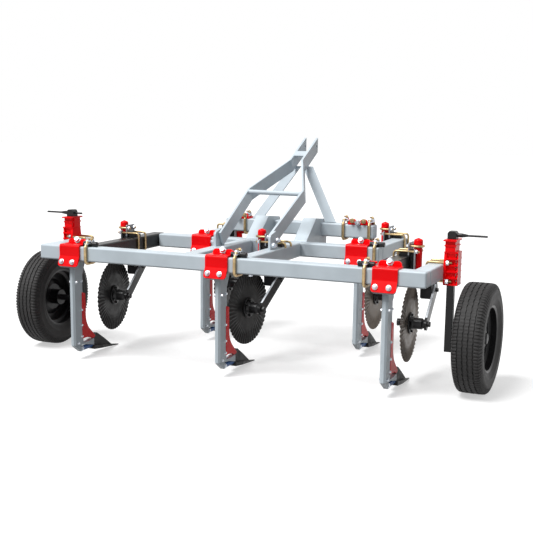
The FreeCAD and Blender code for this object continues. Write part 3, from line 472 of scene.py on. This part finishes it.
class PLOW_OT_finishes(bpy.types.Operator):
    """Paint, plating, steel and rubber, given to every solid of the frame"""
    bl_idname = "plow.finishes"
    bl_label = "Finishes"

    def paint(self, name, colour, chosen, roughness, specular=0.5):
        """Sprayed paint: faint clouds of tone, orange peel and edges where it is thin."""
        finish = Finish(name, colour, roughness, **{"Specular IOR Level": specular})
        clouds = finish.ramp(finish.noise(5.0), 0.3, 0.7)
        tone = finish.mix(clouds, shade(colour, 0.94), shade(colour, 1.05))
        thin = finish.edges(chosen.edge) * finish.ramp(finish.noise(60.0, 5.0), 0.42, 0.66)
        finish.feed("Base Color", finish.mix(thin, tone, shade(colour, 1.35)))
        finish.feed("Roughness", finish.noise(14.0) * 0.16 + (roughness - 0.08))
        finish.bump(finish.noise(260.0, 2.0), chosen.peel)
        return finish

    def plating(self, name, colour, roughness, iris):
        """Zinc plating with soft clouds of a second tint."""
        finish = Finish(name, colour, roughness, 0.85)
        clouds = finish.ramp(finish.noise(45.0, 4.0), 0.35, 0.65)
        finish.feed("Base Color", finish.mix(clouds, colour, iris))
        finish.feed("Roughness", finish.noise(220.0, 4.0) * 0.22 + roughness)
        finish.bump(finish.noise(700.0, 2.0), 0.00004)
        return finish

    def steel(self, name, colour, dark, roughness, metallic):
        """Rolled steel with mill scale, scuffs and a bright worn edge."""
        finish = Finish(name, colour, roughness, metallic, **{"Specular IOR Level": 0.25})
        scale = finish.ramp(finish.noise(18.0, 6.0, 0.6), 0.38, 0.64)
        scuffs = finish.ramp(finish.noise(90.0, 4.0, 0.7, (1.0, 0.12, 1.0)), 0.55, 0.75)
        tone = finish.mix(scuffs * 0.5, finish.mix(scale, dark, colour), shade(colour, 1.6))
        finish.feed("Base Color", finish.mix(finish.edges(0.003) * 0.7, tone, shade(colour, 2.0)))
        finish.feed("Roughness", scale * 0.2 + (roughness - 0.1))
        finish.bump(finish.noise(320.0, 5.0, 0.65), 0.00025)
        return finish

    def execute(self, context):
        chosen = context.scene.plow_finishes
        silver, red, black, blue = (tuple(c) for c in (chosen.silver, chosen.red, chosen.black, chosen.blue))
        zinc, steel = tuple(chosen.zinc), tuple(chosen.steel)
        FINISHES["silver"] = self.paint("silver", silver, chosen, 0.36, 0.3)
        FINISHES["red"] = self.paint("red", red, chosen, 0.30, 0.16)
        FINISHES["black"] = self.paint("black", black, chosen, 0.32, 0.3)
        FINISHES["blue"] = self.paint("blue", blue, chosen, 0.42)
        FINISHES["yellow_zinc"] = self.plating("yellow_zinc", zinc, 0.24, shade(zinc, 0.72))
        FINISHES["bright_zinc"] = self.plating("bright_zinc", (0.66, 0.68, 0.71), 0.2, (0.50, 0.54, 0.60))
        FINISHES["share_steel"] = self.steel("share_steel", (0.020, 0.019, 0.019), (0.008, 0.008, 0.009), 0.5, 0.2)
        FINISHES["disc_steel"] = self.steel("disc_steel", steel, shade(steel, 0.62), 0.48, 0.55)
        FINISHES["worn_edge"] = self.steel("worn_edge", (0.34, 0.36, 0.38), (0.22, 0.23, 0.25), 0.45, 0.3)
        FINISHES["disc_black"] = self.steel("disc_black", (0.008, 0.0075, 0.007), (0.003, 0.003, 0.003), 0.45, 0.0)
        rubber = Finish("rubber", (0.026, 0.025, 0.025), 0.62, **{"Specular IOR Level": 0.3})
        rubber.feed("Base Color", rubber.mix(rubber.noise(9.0, 5.0), (0.018, 0.018, 0.018), (0.036, 0.034, 0.034)))
        rubber.feed("Roughness", rubber.noise(30.0) * 0.2 + 0.52)
        rubber.bump(rubber.noise(500.0, 4.0), 0.0002)
        FINISHES["rubber"] = rubber
        for name, node in NODES.items():
            node.data.materials.clear()
            node.data.materials.append(FINISHES[FINISH_OF_SLOT[SLOTS[name]]].material)
        return {"FINISHED"}


class PLOW_OT_shank_clamps(bpy.types.Operator):
    """Lip bolts, notch bolt, U-bolt, wedge shaft and its arm on each shank clamp"""
    bl_idname = "plow.shank_clamps"
    bl_label = "Shank clamps"
    plate: FloatProperty(name="Plate", description="Thickness of the clamp's plate", subtype="DISTANCE",
                         default=0.012)
    lip_back: FloatProperty(name="Lip", description="Bolt's place on the lip behind the bar", subtype="DISTANCE",
                            default=0.0283)
    # Side of the clamp on which each shank's U-bolt sits
    u_side = {1: 1, 2: 1, 3: 1, 4: 1, 5: -1}
    lip_out, lip_shift, lip_drop, lip_plate = Vector((0, -0.9225, 0.386)), 0.010, 0.006, 0.0205
    notch_aim, notch_head, notch_radius, notch_long = Vector((0.12, -0.8, 0.6)), 0.032, 0.011, 0.04
    shaft_start, shaft_long, arm_start, arm_end = 0.082, 0.107, 0.072, 0.014
    plug_aside, plug_radius, plug_long = 0.086, 0.013, 0.016

    def lip_bolt(self, bm, at, across):
        """A bolt through the clamp's lip, with its nut on the far side."""
        domed_head(bm, at, self.lip_out, across)
        through = at - self.lip_out * self.lip_plate
        Rod(bm, through, -self.lip_out, across * 0.31).straight(0.03).end()
        hex_head(bm, through, -self.lip_out, across, across * 0.6, washer=False)

    def execute(self, context):
        sizes = context.scene.plow_fasteners
        crate = Crate("clamp")
        bright, yellow, red, black = crate("bright_zinc"), crate("yellow_zinc"), crate("red"), crate("black")
        aim = self.notch_aim.normalized()
        shaft_radius = sizes.shaft_radius * 0.8
        for number, x, low, high in shanks():
            lip = Vector((x - self.lip_shift, low.y - self.lip_back, low.z - self.lip_drop))
            for step in (-1, 1):
                self.lip_bolt(bright, lip + RIGHT * step * sizes.lip_spacing / 2, sizes.lip_bolt)
            notch = Vector((x, high.y - 0.006, high.z + self.plate + 0.016))
            Rod(bright, notch + aim * 0.012, -aim, self.notch_radius).straight(self.notch_long).end()
            hex_head(bright, notch + aim * 0.006, aim, self.notch_head, 0.022)
            side, mid_y = self.u_side[number], (low.y + high.y) / 2
            LeaningBolt(yellow, bright, x + side * sizes.clamp_u_offset, low, high, sizes.clamp_rod)
            shaft = Vector((x + side * self.shaft_start, mid_y, high.z + shaft_radius))
            drum(black, facing(shaft, RIGHT * side), shaft_radius, self.shaft_long, 28, 0.004)
            arm = Vector((x + side * self.arm_start, mid_y + 0.010, high.z + self.plate + 0.018))
            arm_long = sizes.clamp_u_offset - self.arm_start - self.arm_end
            slab(red, bar(0.016, 0.014), facing(arm, RIGHT * side), arm_long, 0.003)
        low, high = corners("rear_bar")
        plug = (sizes.clamp_u_offset + self.plug_aside, (low.y + high.y) / 2, low.z)
        drum(bright, facing(plug, -UP), self.plug_radius, self.plug_long, 20, 0.002)
        crate.unpack()
        return {"FINISHED"}


class PLOW_OT_shank_bolts(bpy.types.Operator):
    """Bolts through shanks and guards, and the bolts that draw the shares back"""
    bl_idname = "plow.shank_bolts"
    bl_label = "Shank bolts"
    # Height above the floor and place ahead of the bar's middle
    side_bolts = ((0.552, 0.040), (0.552, -0.020), (0.348, 0.036), (0.240, 0.036), (0.160, 0.036), (0.118, -0.004))
    shank_half, share_axis, sleeve_rear, share_washer = 0.020, 0.067, 0.062, 0.004

    def execute(self, context):
        sizes = context.scene.plow_fasteners
        crate = Crate("shank")
        bright = crate("bright_zinc")
        for number, x, low, high in shanks():
            mid_y = (low.y + high.y) / 2
            for height, ahead in self.side_bolts:
                for side in (-1, 1):
                    at = (x + side * self.shank_half, mid_y + ahead, height)
                    hex_head(bright, at, RIGHT * side, sizes.side_bolt, spin=height)
            end = Vector((x, mid_y + self.sleeve_rear, self.share_axis))
            drum(bright, facing(end, -AHEAD), sizes.share_bolt * 0.78, self.share_washer, 28, 0.001)
            hex_head(bright, end - AHEAD * self.share_washer, -AHEAD, sizes.share_bolt, 0.0155, washer=False)
        crate.unpack()
        return {"FINISHED"}


class PLOW_OT_coulter_clamps(bpy.types.Operator):
    """U-bolts, straps and nuts that hold the coulter posts"""
    bl_idname = "plow.coulter_clamps"
    bl_label = "Coulter clamps"
    post_radius: FloatProperty(name="Post", description="Radius of a coulter post", subtype="DISTANCE", default=0.028)
    arm_slope: FloatProperty(name="Arm's slope", description="Coulter arm above level", subtype="ANGLE",
                             default=math.radians(36))
    saddle: FloatProperty(name="Saddle", description="Block on top of the tube, under the U-bolts",
                          subtype="DISTANCE", default=0.022)
    arm_offset, arm_lead, arm_half, arm_thick = 0.108, 0.110, 0.035, 0.016
    # The worn strip on an arm's top edge: width, thickness and how much shorter than the arm
    worn_wide, worn_thick, worn_short = 0.013, 0.0006, 0.05
    play, corner, nut, nut_high, thread = 0.0005, 0.02, 0.022, 0.012, 0.021
    u_half, u_start, strip_aside, strip_wide, strip_past, strip_thick = 0.048, 0.020, 0.004, 0.026, 0.034, 0.007
    ring_down, ring_thread, ring_long, strap_aside, strap_thick, strap_past = 0.044, 0.018, 0.056, 0.046, 0.008, 0.024
    # This coulter's U-bolts only hook over the edge of its rail
    hooked = 3

    def arm(self, crate, number):
        """Worn top edge of a trailing arm, and the bolt at its upper end."""
        body = "coulter_%d" % number
        swivel, spin = JOINTS["coulter_swivel_%d" % number], JOINTS["coulter_spin_%d" % number]
        axis, axle = Vector(spin["axis"]), Vector(spin["pos_m"])
        trail = (Vector(swivel["pos_m"]).xy - axle.xy).length
        run = (trail + self.arm_lead) / math.cos(self.arm_slope)
        place = Matrix.Translation(axle) @ Matrix.Rotation(math.atan2(axis.y, axis.x), 4, "Z")
        place = place @ Matrix.Translation((self.arm_offset, 0, 0)) @ Matrix.Rotation(self.arm_slope, 4, "X")
        edge = place @ Matrix.Translation((0, run / 2, self.arm_half))
        strip = bar(self.worn_wide, run - self.worn_short)
        slab(crate("worn_edge", body), strip, edge, self.worn_thick, 0, 0.0002)
        face = self.arm_thick / 2
        for along, across in ((0.0, 0.034), (run - 0.045, 0.024)):
            at = place @ Vector((face, along, 0))
            hex_head(crate("black", body), at, axis, across, across * 0.5)

    def execute(self, context):
        sizes = context.scene.plow_fasteners
        crate = Crate("coulter")
        for finish in ("bright_zinc", "yellow_zinc"):
            crate(finish)
        black, dull, r = crate("black"), crate("worn_edge"), sizes.coulter_rod
        tube_low, tube_high = corners("rear_bar")
        ring_z = corners("coulter_posts")[1].z - self.ring_down - r - 0.003
        bend = self.post_radius + r + self.play
        for number, foot, side, near, far in coulters():
            out = RIGHT * side
            saddle = Vector(((near + far) / 2 - side * 0.010, foot.y, tube_high.z))
            slab(black, bar(abs(far - near) - 0.028, 0.078), Matrix.Translation(saddle), self.saddle, 0.008, 0.003)
            over, under = tube_high.z + self.saddle + r + self.play, tube_low.z - r - self.play
            for step in (-1, 1):
                at = Vector((foot.x, foot.y + step * self.u_half, over))
                self.u_bolt(crate, at, side, far, under, r, number == self.hooked)
            strap_high = ring_z + self.strap_past - tube_high.z
            strap = Vector((foot.x + side * self.strap_aside, foot.y, tube_high.z + strap_high / 2))
            slab(dull, bar(2 * bend + 0.036, strap_high), facing(strap, out), self.strap_thick, 0.008)
            self.ring(crate, foot, side, bend, ring_z, r)
            self.arm(crate, number)
        crate.unpack()
        return {"FINISHED"}

    def u_bolt(self, crate, at, side, far, under, r, hooked):
        """A U-bolt round the tube from beside the post, the strip that its ends pass, and their nuts."""
        yellow, out = crate("yellow_zinc"), RIGHT * side
        start = at.x - side * self.u_start
        run = abs(far - start) + r + self.play - self.corner - self.thread
        rod = Rod(yellow, (start, at.y, at.z), out, r)
        rod.thread(self.thread).straight(run).bend(90, self.corner, -UP)
        if hooked:
            rod.straight(0.012).end()
        else:
            rod.straight(at.z - under - 2 * self.corner).bend(90, self.corner, -out).straight(run)
            rod.thread(self.thread).end()
        strip = Vector((at.x + side * self.strip_aside, at.y, (at.z + under) / 2))
        outline = bar(self.strip_wide, at.z - under + self.strip_past)
        slab(crate("worn_edge"), outline, facing(strip, out), self.strip_thick, 0.006)
        for z in (at.z,) if hooked else (at.z, under):
            hex_head(crate("bright_zinc"), (strip.x, at.y, z), -out, self.nut, self.nut_high)

    def ring(self, crate, foot, side, bend, z, r):
        """The U-bolt round the post's top, with its two nuts."""
        out = RIGHT * side
        rod = Rod(crate("yellow_zinc"), (foot.x + side * 0.074, foot.y + bend, z), -out, r)
        rod.thread(self.ring_thread).straight(self.ring_long).bend(180, bend, -AHEAD, 14)
        rod.straight(self.ring_long).thread(self.ring_thread).end()
        for step in (-1, 1):
            at = (foot.x + side * 0.054, foot.y + step * bend, z)
            hex_head(crate("bright_zinc"), at, out, self.nut, self.nut_high)


class PLOW_OT_discs(bpy.types.Operator):
    """Rippled coulter discs on bolted hubs, in place of the plain ones"""
    bl_idname = "plow.discs"
    bl_label = "Coulter discs"
    radius: FloatProperty(name="Radius", description="Disc's radius", subtype="DISTANCE", default=0.255)
    finish_of = {1: "disc_black", 2: "disc_black", 3: "disc_black", 4: "disc_steel", 5: "disc_steel"}

    def plate(self, sizes):
        """The disc's plate about the X axis, thinning to its edge, with radial ripples."""
        bm = bmesh.new()
        rings = 14
        right = [(0.0028, 0.036 + (self.radius - 0.004 - 0.036) * i / rings, 0) for i in range(rings + 1)]
        left = [(-x, r, 0) for x, r, rounding in reversed(right)]
        turned(bm, right + [(0.0006, self.radius, 0), (-0.0006, self.radius, 0)] + left, Matrix(), sizes.waves * 8)
        for vert in bm.verts:
            angle = math.atan2(vert.co.z, vert.co.y)
            reach = math.hypot(vert.co.y, vert.co.z)
            growth = min(1.0, max(0.0, (reach - sizes.start) / (self.radius - sizes.start) * 2.2))
            vert.co.x += sizes.depth * growth * math.sin(sizes.waves * angle + 3.0 * growth)
        return bm

    def hub(self, bm, sizes):
        """Flanged hub with bearing barrel, grease cap and flange bolts."""
        barrel = [(-0.058, 0.0145, 0), (-0.058, 0.026, 0.003), (-0.030, 0.028, 0), (-0.026, 0.034, 0.002),
                  (-0.012, 0.038, 0), (-0.012, 0.070, 0.003), (0.014, 0.070, 0.003), (0.014, 0.046, 0.004),
                  (0.030, 0.0375, 0.004), (0.084, 0.0365, 0.003), (0.090, 0.030, 0.002), (0.0985, 0.028, 0),
                  (0.0985, 0.0145, 0)]
        turned(bm, barrel, Matrix(), 40)
        for i in range(sizes.bolts):
            angle = 2 * math.pi * (i + 0.5) / sizes.bolts
            at = Vector((0, math.cos(angle), math.sin(angle))) * 0.054
            hex_head(bm, at + RIGHT * 0.014, RIGHT, 0.015, 0.009)
            hex_head(bm, at - RIGHT * 0.012, -RIGHT, 0.015, 0.009)

    def execute(self, context):
        sizes = context.scene.plow_discs
        for number, finish in self.finish_of.items():
            joint = JOINTS["coulter_spin_%d" % number]
            axis = Vector(joint["axis"])
            place = Matrix.Translation(Vector(joint["pos_m"])) @ Matrix.Rotation(math.atan2(axis.y, axis.x), 4, "Z")
            plate, hub = self.plate(sizes), bmesh.new()
            self.hub(hub, sizes)
            for bm, name, material in ((plate, "disc", finish), (hub, "hub", "black")):
                bmesh.ops.transform(bm, matrix=place, verts=bm.verts)
                to_object(bm, "rippled_%s_%d" % (name, number), "disc_%d" % number, material)
            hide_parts("coulter_disc_%d" % number)
        return {"FINISHED"}


class PLOW_OT_tyres(bpy.types.Operator):
    """Ribbed road tyres in place of the plain ones, with wheel nuts and hub caps"""
    bl_idname = "plow.tyres"
    bl_label = "Tyres and wheels"
    step_share: IntProperty(name="Steps for a slot", description="Steps round the tyre for one shoulder slot",
                            default=5, min=4, max=8)

    def tyre(self, sizes, radius, half):
        """Tread of five ribs between zigzag grooves, with shoulder sipes and ringed side walls."""
        bm = bmesh.new()
        right = [(0.068, 0.2036, 0), (0.079, 0.210, 0), (0.084, 0.222, 0), (0.0865, 0.226, 0), (0.0935, 0.250, 0),
                 (0.0955, 0.252, 0), (half, 0.275, 0), (half - 0.0006, 0.292, 0), (half + 0.0006, 0.295, 0),
                 (half - 0.002, 0.306, 0), (half - 0.007, radius - 0.026, 0), (half - 0.013, radius - 0.010, 0),
                 (half - 0.022, radius - 0.003, 0)]
        for x in (0.048, 0.016):
            right += [(x + 0.005, radius - 0.001, 0), (x + 0.003, radius - sizes.groove, 0),
                      (x - 0.003, radius - sizes.groove, 0), (x - 0.005, radius - 0.0005, 0)]
        steps = sizes.slots * self.step_share
        turned(bm, right + [(-x, r, 0) for x, r, rounding in reversed(right)], Matrix(), steps)
        for vert in bm.verts:
            angle = math.atan2(vert.co.z, vert.co.y) % (2 * math.pi)
            reach = math.hypot(vert.co.y, vert.co.z)
            if reach > radius - sizes.groove - 0.002 and abs(vert.co.x) < 0.06:
                phase = angle * sizes.teeth / (2 * math.pi) + (0.5 if abs(vert.co.x) < 0.03 else 0.0)
                vert.co.x += sizes.zigzag * (4 * abs(phase % 1.0 - 0.5) - 1)
            in_slot = round(angle * steps / (2 * math.pi)) % self.step_share < 2
            if in_slot and abs(vert.co.x) > 0.06 and reach > radius - 0.028:
                vert.co.yz = vert.co.yz * (1 - 0.005 / reach)
                vert.co.x -= math.copysign(0.004, vert.co.x)
            elif in_slot and reach > radius - 0.002:
                vert.co.yz = vert.co.yz * (1 - 0.0014 / reach)
        return bm

    def execute(self, context):
        sizes = context.scene.plow_tyres
        for side, sign in (("left", -1), ("right", 1)):
            low, high = corners("tyre_" + side)
            centre = (low + high) / 2
            bm = self.tyre(sizes, (high.z - low.z) / 2, (high.x - low.x) / 2)
            bmesh.ops.translate(bm, verts=bm.verts, vec=centre)
            piece = to_object(bm, "ribbed_tyre_" + side, "wheel_" + side, "rubber", 30)
            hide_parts("tyre_" + side)
            crate = Crate("wheel")
            bright, black = crate("bright_zinc", "wheel_" + side), crate("black", "wheel_" + side)
            out = RIGHT * sign
            turn = Matrix.Translation(centre) @ Matrix.Rotation(0 if sign > 0 else math.pi, 4, "Z")
            turned(black, [(0.042, 0.0, 0), (0.042, 0.036, 0), (0.046, 0.036, 0.002), (0.060, 0.034, 0.008),
                           (0.064, 0.0, 0)], turn, 36)
            for i in range(sizes.nuts):
                angle = 2 * math.pi * i / sizes.nuts
                at = Vector((0, math.cos(angle), math.sin(angle))) * 0.074
                hex_head(bright, centre + out * 0.0062 + at, out, 0.021, 0.014, stud=0.009)
            crate.unpack()
        return {"FINISHED"}


class PLOW_OT_jacks(bpy.types.Operator):
    """U-bolts that hold the wheel jacks to the side arms"""
    bl_idname = "plow.jacks"
    bl_label = "Jacks"
    flange: FloatProperty(name="Flange", description="Thickness of the jack's flange", subtype="DISTANCE",
                          default=0.015)
    spread: FloatProperty(name="U-bolts apart", description="Between a jack's two U-bolts", subtype="DISTANCE",
                          default=0.096)
    corner, tail, nut_room, thread, play = 0.018, 0.018, 0.018, 0.021, 0.0005

    def execute(self, context):
        radius = context.scene.plow_fasteners.jack_rod
        crate = Crate("jack")
        bright, yellow = crate("bright_zinc"), crate("yellow_zinc")
        tube_low, tube_high = corners("rear_bar")
        side_high = corners("side_arms")[1]
        wide, corner = tube_high.z - tube_low.z, self.corner
        over, under = tube_high.z + radius + self.play, tube_low.z - radius - self.play
        for side, sign in (("left", -1), ("right", 1)):
            out, leg_y = RIGHT * sign, middle("wheel_leg_" + side).y
            inner, outer = sign * (side_high.x - wide), sign * (side_high.x + self.flange)
            bend_x = inner - sign * (radius + self.play)
            run = abs(outer - bend_x) + self.nut_room + self.tail - corner - self.thread
            for step in (-1, 1):
                y = leg_y + step * self.spread / 2
                rod = Rod(yellow, (outer + sign * (self.nut_room + self.tail), y, over), -out, radius)
                rod.thread(self.thread).straight(run).bend(90, corner, -UP).straight(over - under - 2 * corner)
                rod.bend(90, corner, out).straight(run).thread(self.thread).end()
                for z in (over, under):
                    hex_head(bright, (outer, y, z), out, 0.026, 0.015, spin=math.pi / 6)
        crate.unpack()
        return {"FINISHED"}


class PLOW_OT_hitch(bpy.types.Operator):
    """U-bolts and nuts of the front brackets, and the bolts at the feet of the mast"""
    bl_idname = "plow.hitch"
    bl_label = "Hitch and mast"
    u_places = (-0.430, 0.370, 0.570)
    bracket_half, lug_aside, lug_up, stop_up = 0.079, 0.044, 0.027, 0.016
    # Bolts of the mast's feet: ahead of the lugs' middle, and above their lower end
    foot_bolts = ((-0.034, 0.030), (0.030, 0.058))

    def execute(self, context):
        sizes = context.scene.plow_fasteners
        crate = Crate("hitch")
        bright, yellow = crate("bright_zinc"), crate("yellow_zinc")
        low, high = corners("front_bar")
        for x in self.u_places:
            LeaningBolt(yellow, bright, x, low, high, sizes.clamp_rod)
        bracket_low, bracket_high = corners("hitch_brackets")
        for middle_x in (bracket_low.x + self.bracket_half, bracket_high.x - self.bracket_half):
            for side in (-1, 1):
                lug = (middle_x + side * self.lug_aside, low.y, high.z + self.lug_up)
                hex_head(yellow, lug, -AHEAD, 0.028, 0.018)
            hex_head(bright, (middle_x, low.y - 0.002, high.z + self.stop_up), -AHEAD, 0.032, 0.022)
        lug_low, lug_high = corners("mast_lugs")
        lug_y = (lug_low.y + lug_high.y) / 2
        for x, out in ((lug_low.x, -RIGHT), (lug_high.x, RIGHT)):
            for along, height in self.foot_bolts:
                hex_head(bright, (x, lug_y + along, lug_low.z + height), out, 0.030, stud=0.012)
        crate.unpack()
        return {"FINISHED"}


class PLOW_OT_stage(bpy.types.Operator):
    """Floor, lights and the camera at the photograph's angle"""
    bl_idname = "plow.stage"
    bl_label = "Stage"
    # Camera fitted to the photograph: place in metres, lens and sensor in millimetres, turns in radians
    place, lens, sensor, shift = (2.949, -6.618, 1.6975), 69.22, 36.0, (0.0062, 0.0619)
    heading, dip, roll = 0.4254, 0.178, 0.0108

    def floor(self):
        """White where it is seen, with the object's shadow, and a darker grey where it lights the undersides."""
        finish = Finish("floor", (0.55, 0.55, 0.55), 0.9,
                        **{"Emission Color": (1, 1, 1, 1), "Emission Strength": 0.5})
        dark = finish.node("ShaderNodeBsdfDiffuse", {}, {"Color": (0.10, 0.10, 0.10, 1.0)})
        light = Value(finish, finish.shader.outputs[0])
        mixed = finish.node("ShaderNodeMixShader", {}, {0: finish.seen(), 1: dark, 2: light})
        finish.links.new(mixed.socket, finish.nodes["Material Output"].inputs["Surface"])
        return finish

    def camera(self, scene):
        camera = bpy.data.objects.new("Camera", bpy.data.cameras.new("Camera"))
        scene.collection.objects.link(camera)
        scene.camera = camera
        camera.data.lens = self.lens
        camera.data.sensor_width = self.sensor
        camera.data.shift_x, camera.data.shift_y = self.shift
        camera.data.clip_end = 100.0
        turn = Matrix.Rotation(self.heading, 4, "Z") @ Matrix.Rotation(math.pi / 2 - self.dip, 4, "X")
        camera.matrix_world = Matrix.Translation(self.place) @ turn @ Matrix.Rotation(self.roll, 4, "Z")

    def execute(self, context):
        scene, chosen = context.scene, context.scene.plow_stage
        scene.view_settings.view_transform = "Standard"
        self.camera(scene)
        bm = bmesh.new()
        bmesh.ops.create_grid(bm, x_segments=1, y_segments=1, size=40.0)
        mesh = bpy.data.meshes.new("Floor")
        bm.to_mesh(mesh)
        bm.free()
        floor = bpy.data.objects.new("Floor", mesh)
        scene.collection.objects.link(floor)
        mesh.materials.append(self.floor().material)
        world = bpy.data.worlds.new("World")
        scene.world = world
        tree = Tree(world)
        sky = tree.nodes["Background"].inputs
        sky["Color"].default_value = (1, 1, 1, 1)
        tree.links.new((tree.seen() * (1.0 - chosen.sky) + chosen.sky).socket, sky["Strength"])
        light = bpy.data.lights.new("Sun", "SUN")
        light.energy, light.angle = chosen.sun, chosen.spread
        lamp = bpy.data.objects.new("Sun", light)
        scene.collection.objects.link(lamp)
        lamp.rotation_euler = Vector(chosen.toward).to_track_quat("-Z", "Y").to_euler()
        return {"FINISHED"}


STEPS = (PLOW_OT_stage, PLOW_OT_finishes, PLOW_OT_shank_clamps, PLOW_OT_shank_bolts, PLOW_OT_coulter_clamps,
         PLOW_OT_discs, PLOW_OT_tyres, PLOW_OT_jacks, PLOW_OT_hitch)
SETTINGS = {"plow_finishes": PlowFinishes, "plow_fasteners": PlowFasteners, "plow_discs": PlowDiscs,
            "plow_tyres": PlowTyres, "plow_stage": PlowStage}


class PLOW_PT_dressing(bpy.types.Panel):
    """The plow's finishes, sizes and steps"""
    bl_idname = "PLOW_PT_dressing"
    bl_label = "Plow dressing"
    bl_space_type = "VIEW_3D"
    bl_region_type = "UI"
    bl_category = "Plow"

    def draw(self, context):
        for name, group in SETTINGS.items():
            box = self.layout.box()
            for key in group.__annotations__:
                box.prop(getattr(context.scene, name), key)
        for step in STEPS:
            self.layout.operator(step.bl_idname)


CLASSES = tuple(SETTINGS.values()) + STEPS + (PLOW_PT_dressing,)


def register():
    for cls in CLASSES:
        bpy.utils.register_class(cls)
    for name, group in SETTINGS.items():
        setattr(bpy.types.Scene, name, PointerProperty(type=group))


def unregister():
    for name in SETTINGS:
        delattr(bpy.types.Scene, name)
    for cls in reversed(CLASSES):
        bpy.utils.unregister_class(cls)


def main():
    register()
    bpy.ops.plow.stage()
    bpy.ops.plow.finishes()
    bpy.ops.plow.shank_clamps()
    bpy.ops.plow.shank_bolts()
    bpy.ops.plow.coulter_clamps()
    bpy.ops.plow.discs()
    bpy.ops.plow.tyres()
    bpy.ops.plow.jacks()
    bpy.ops.plow.hitch()


if __name__ == "__main__":
    main()
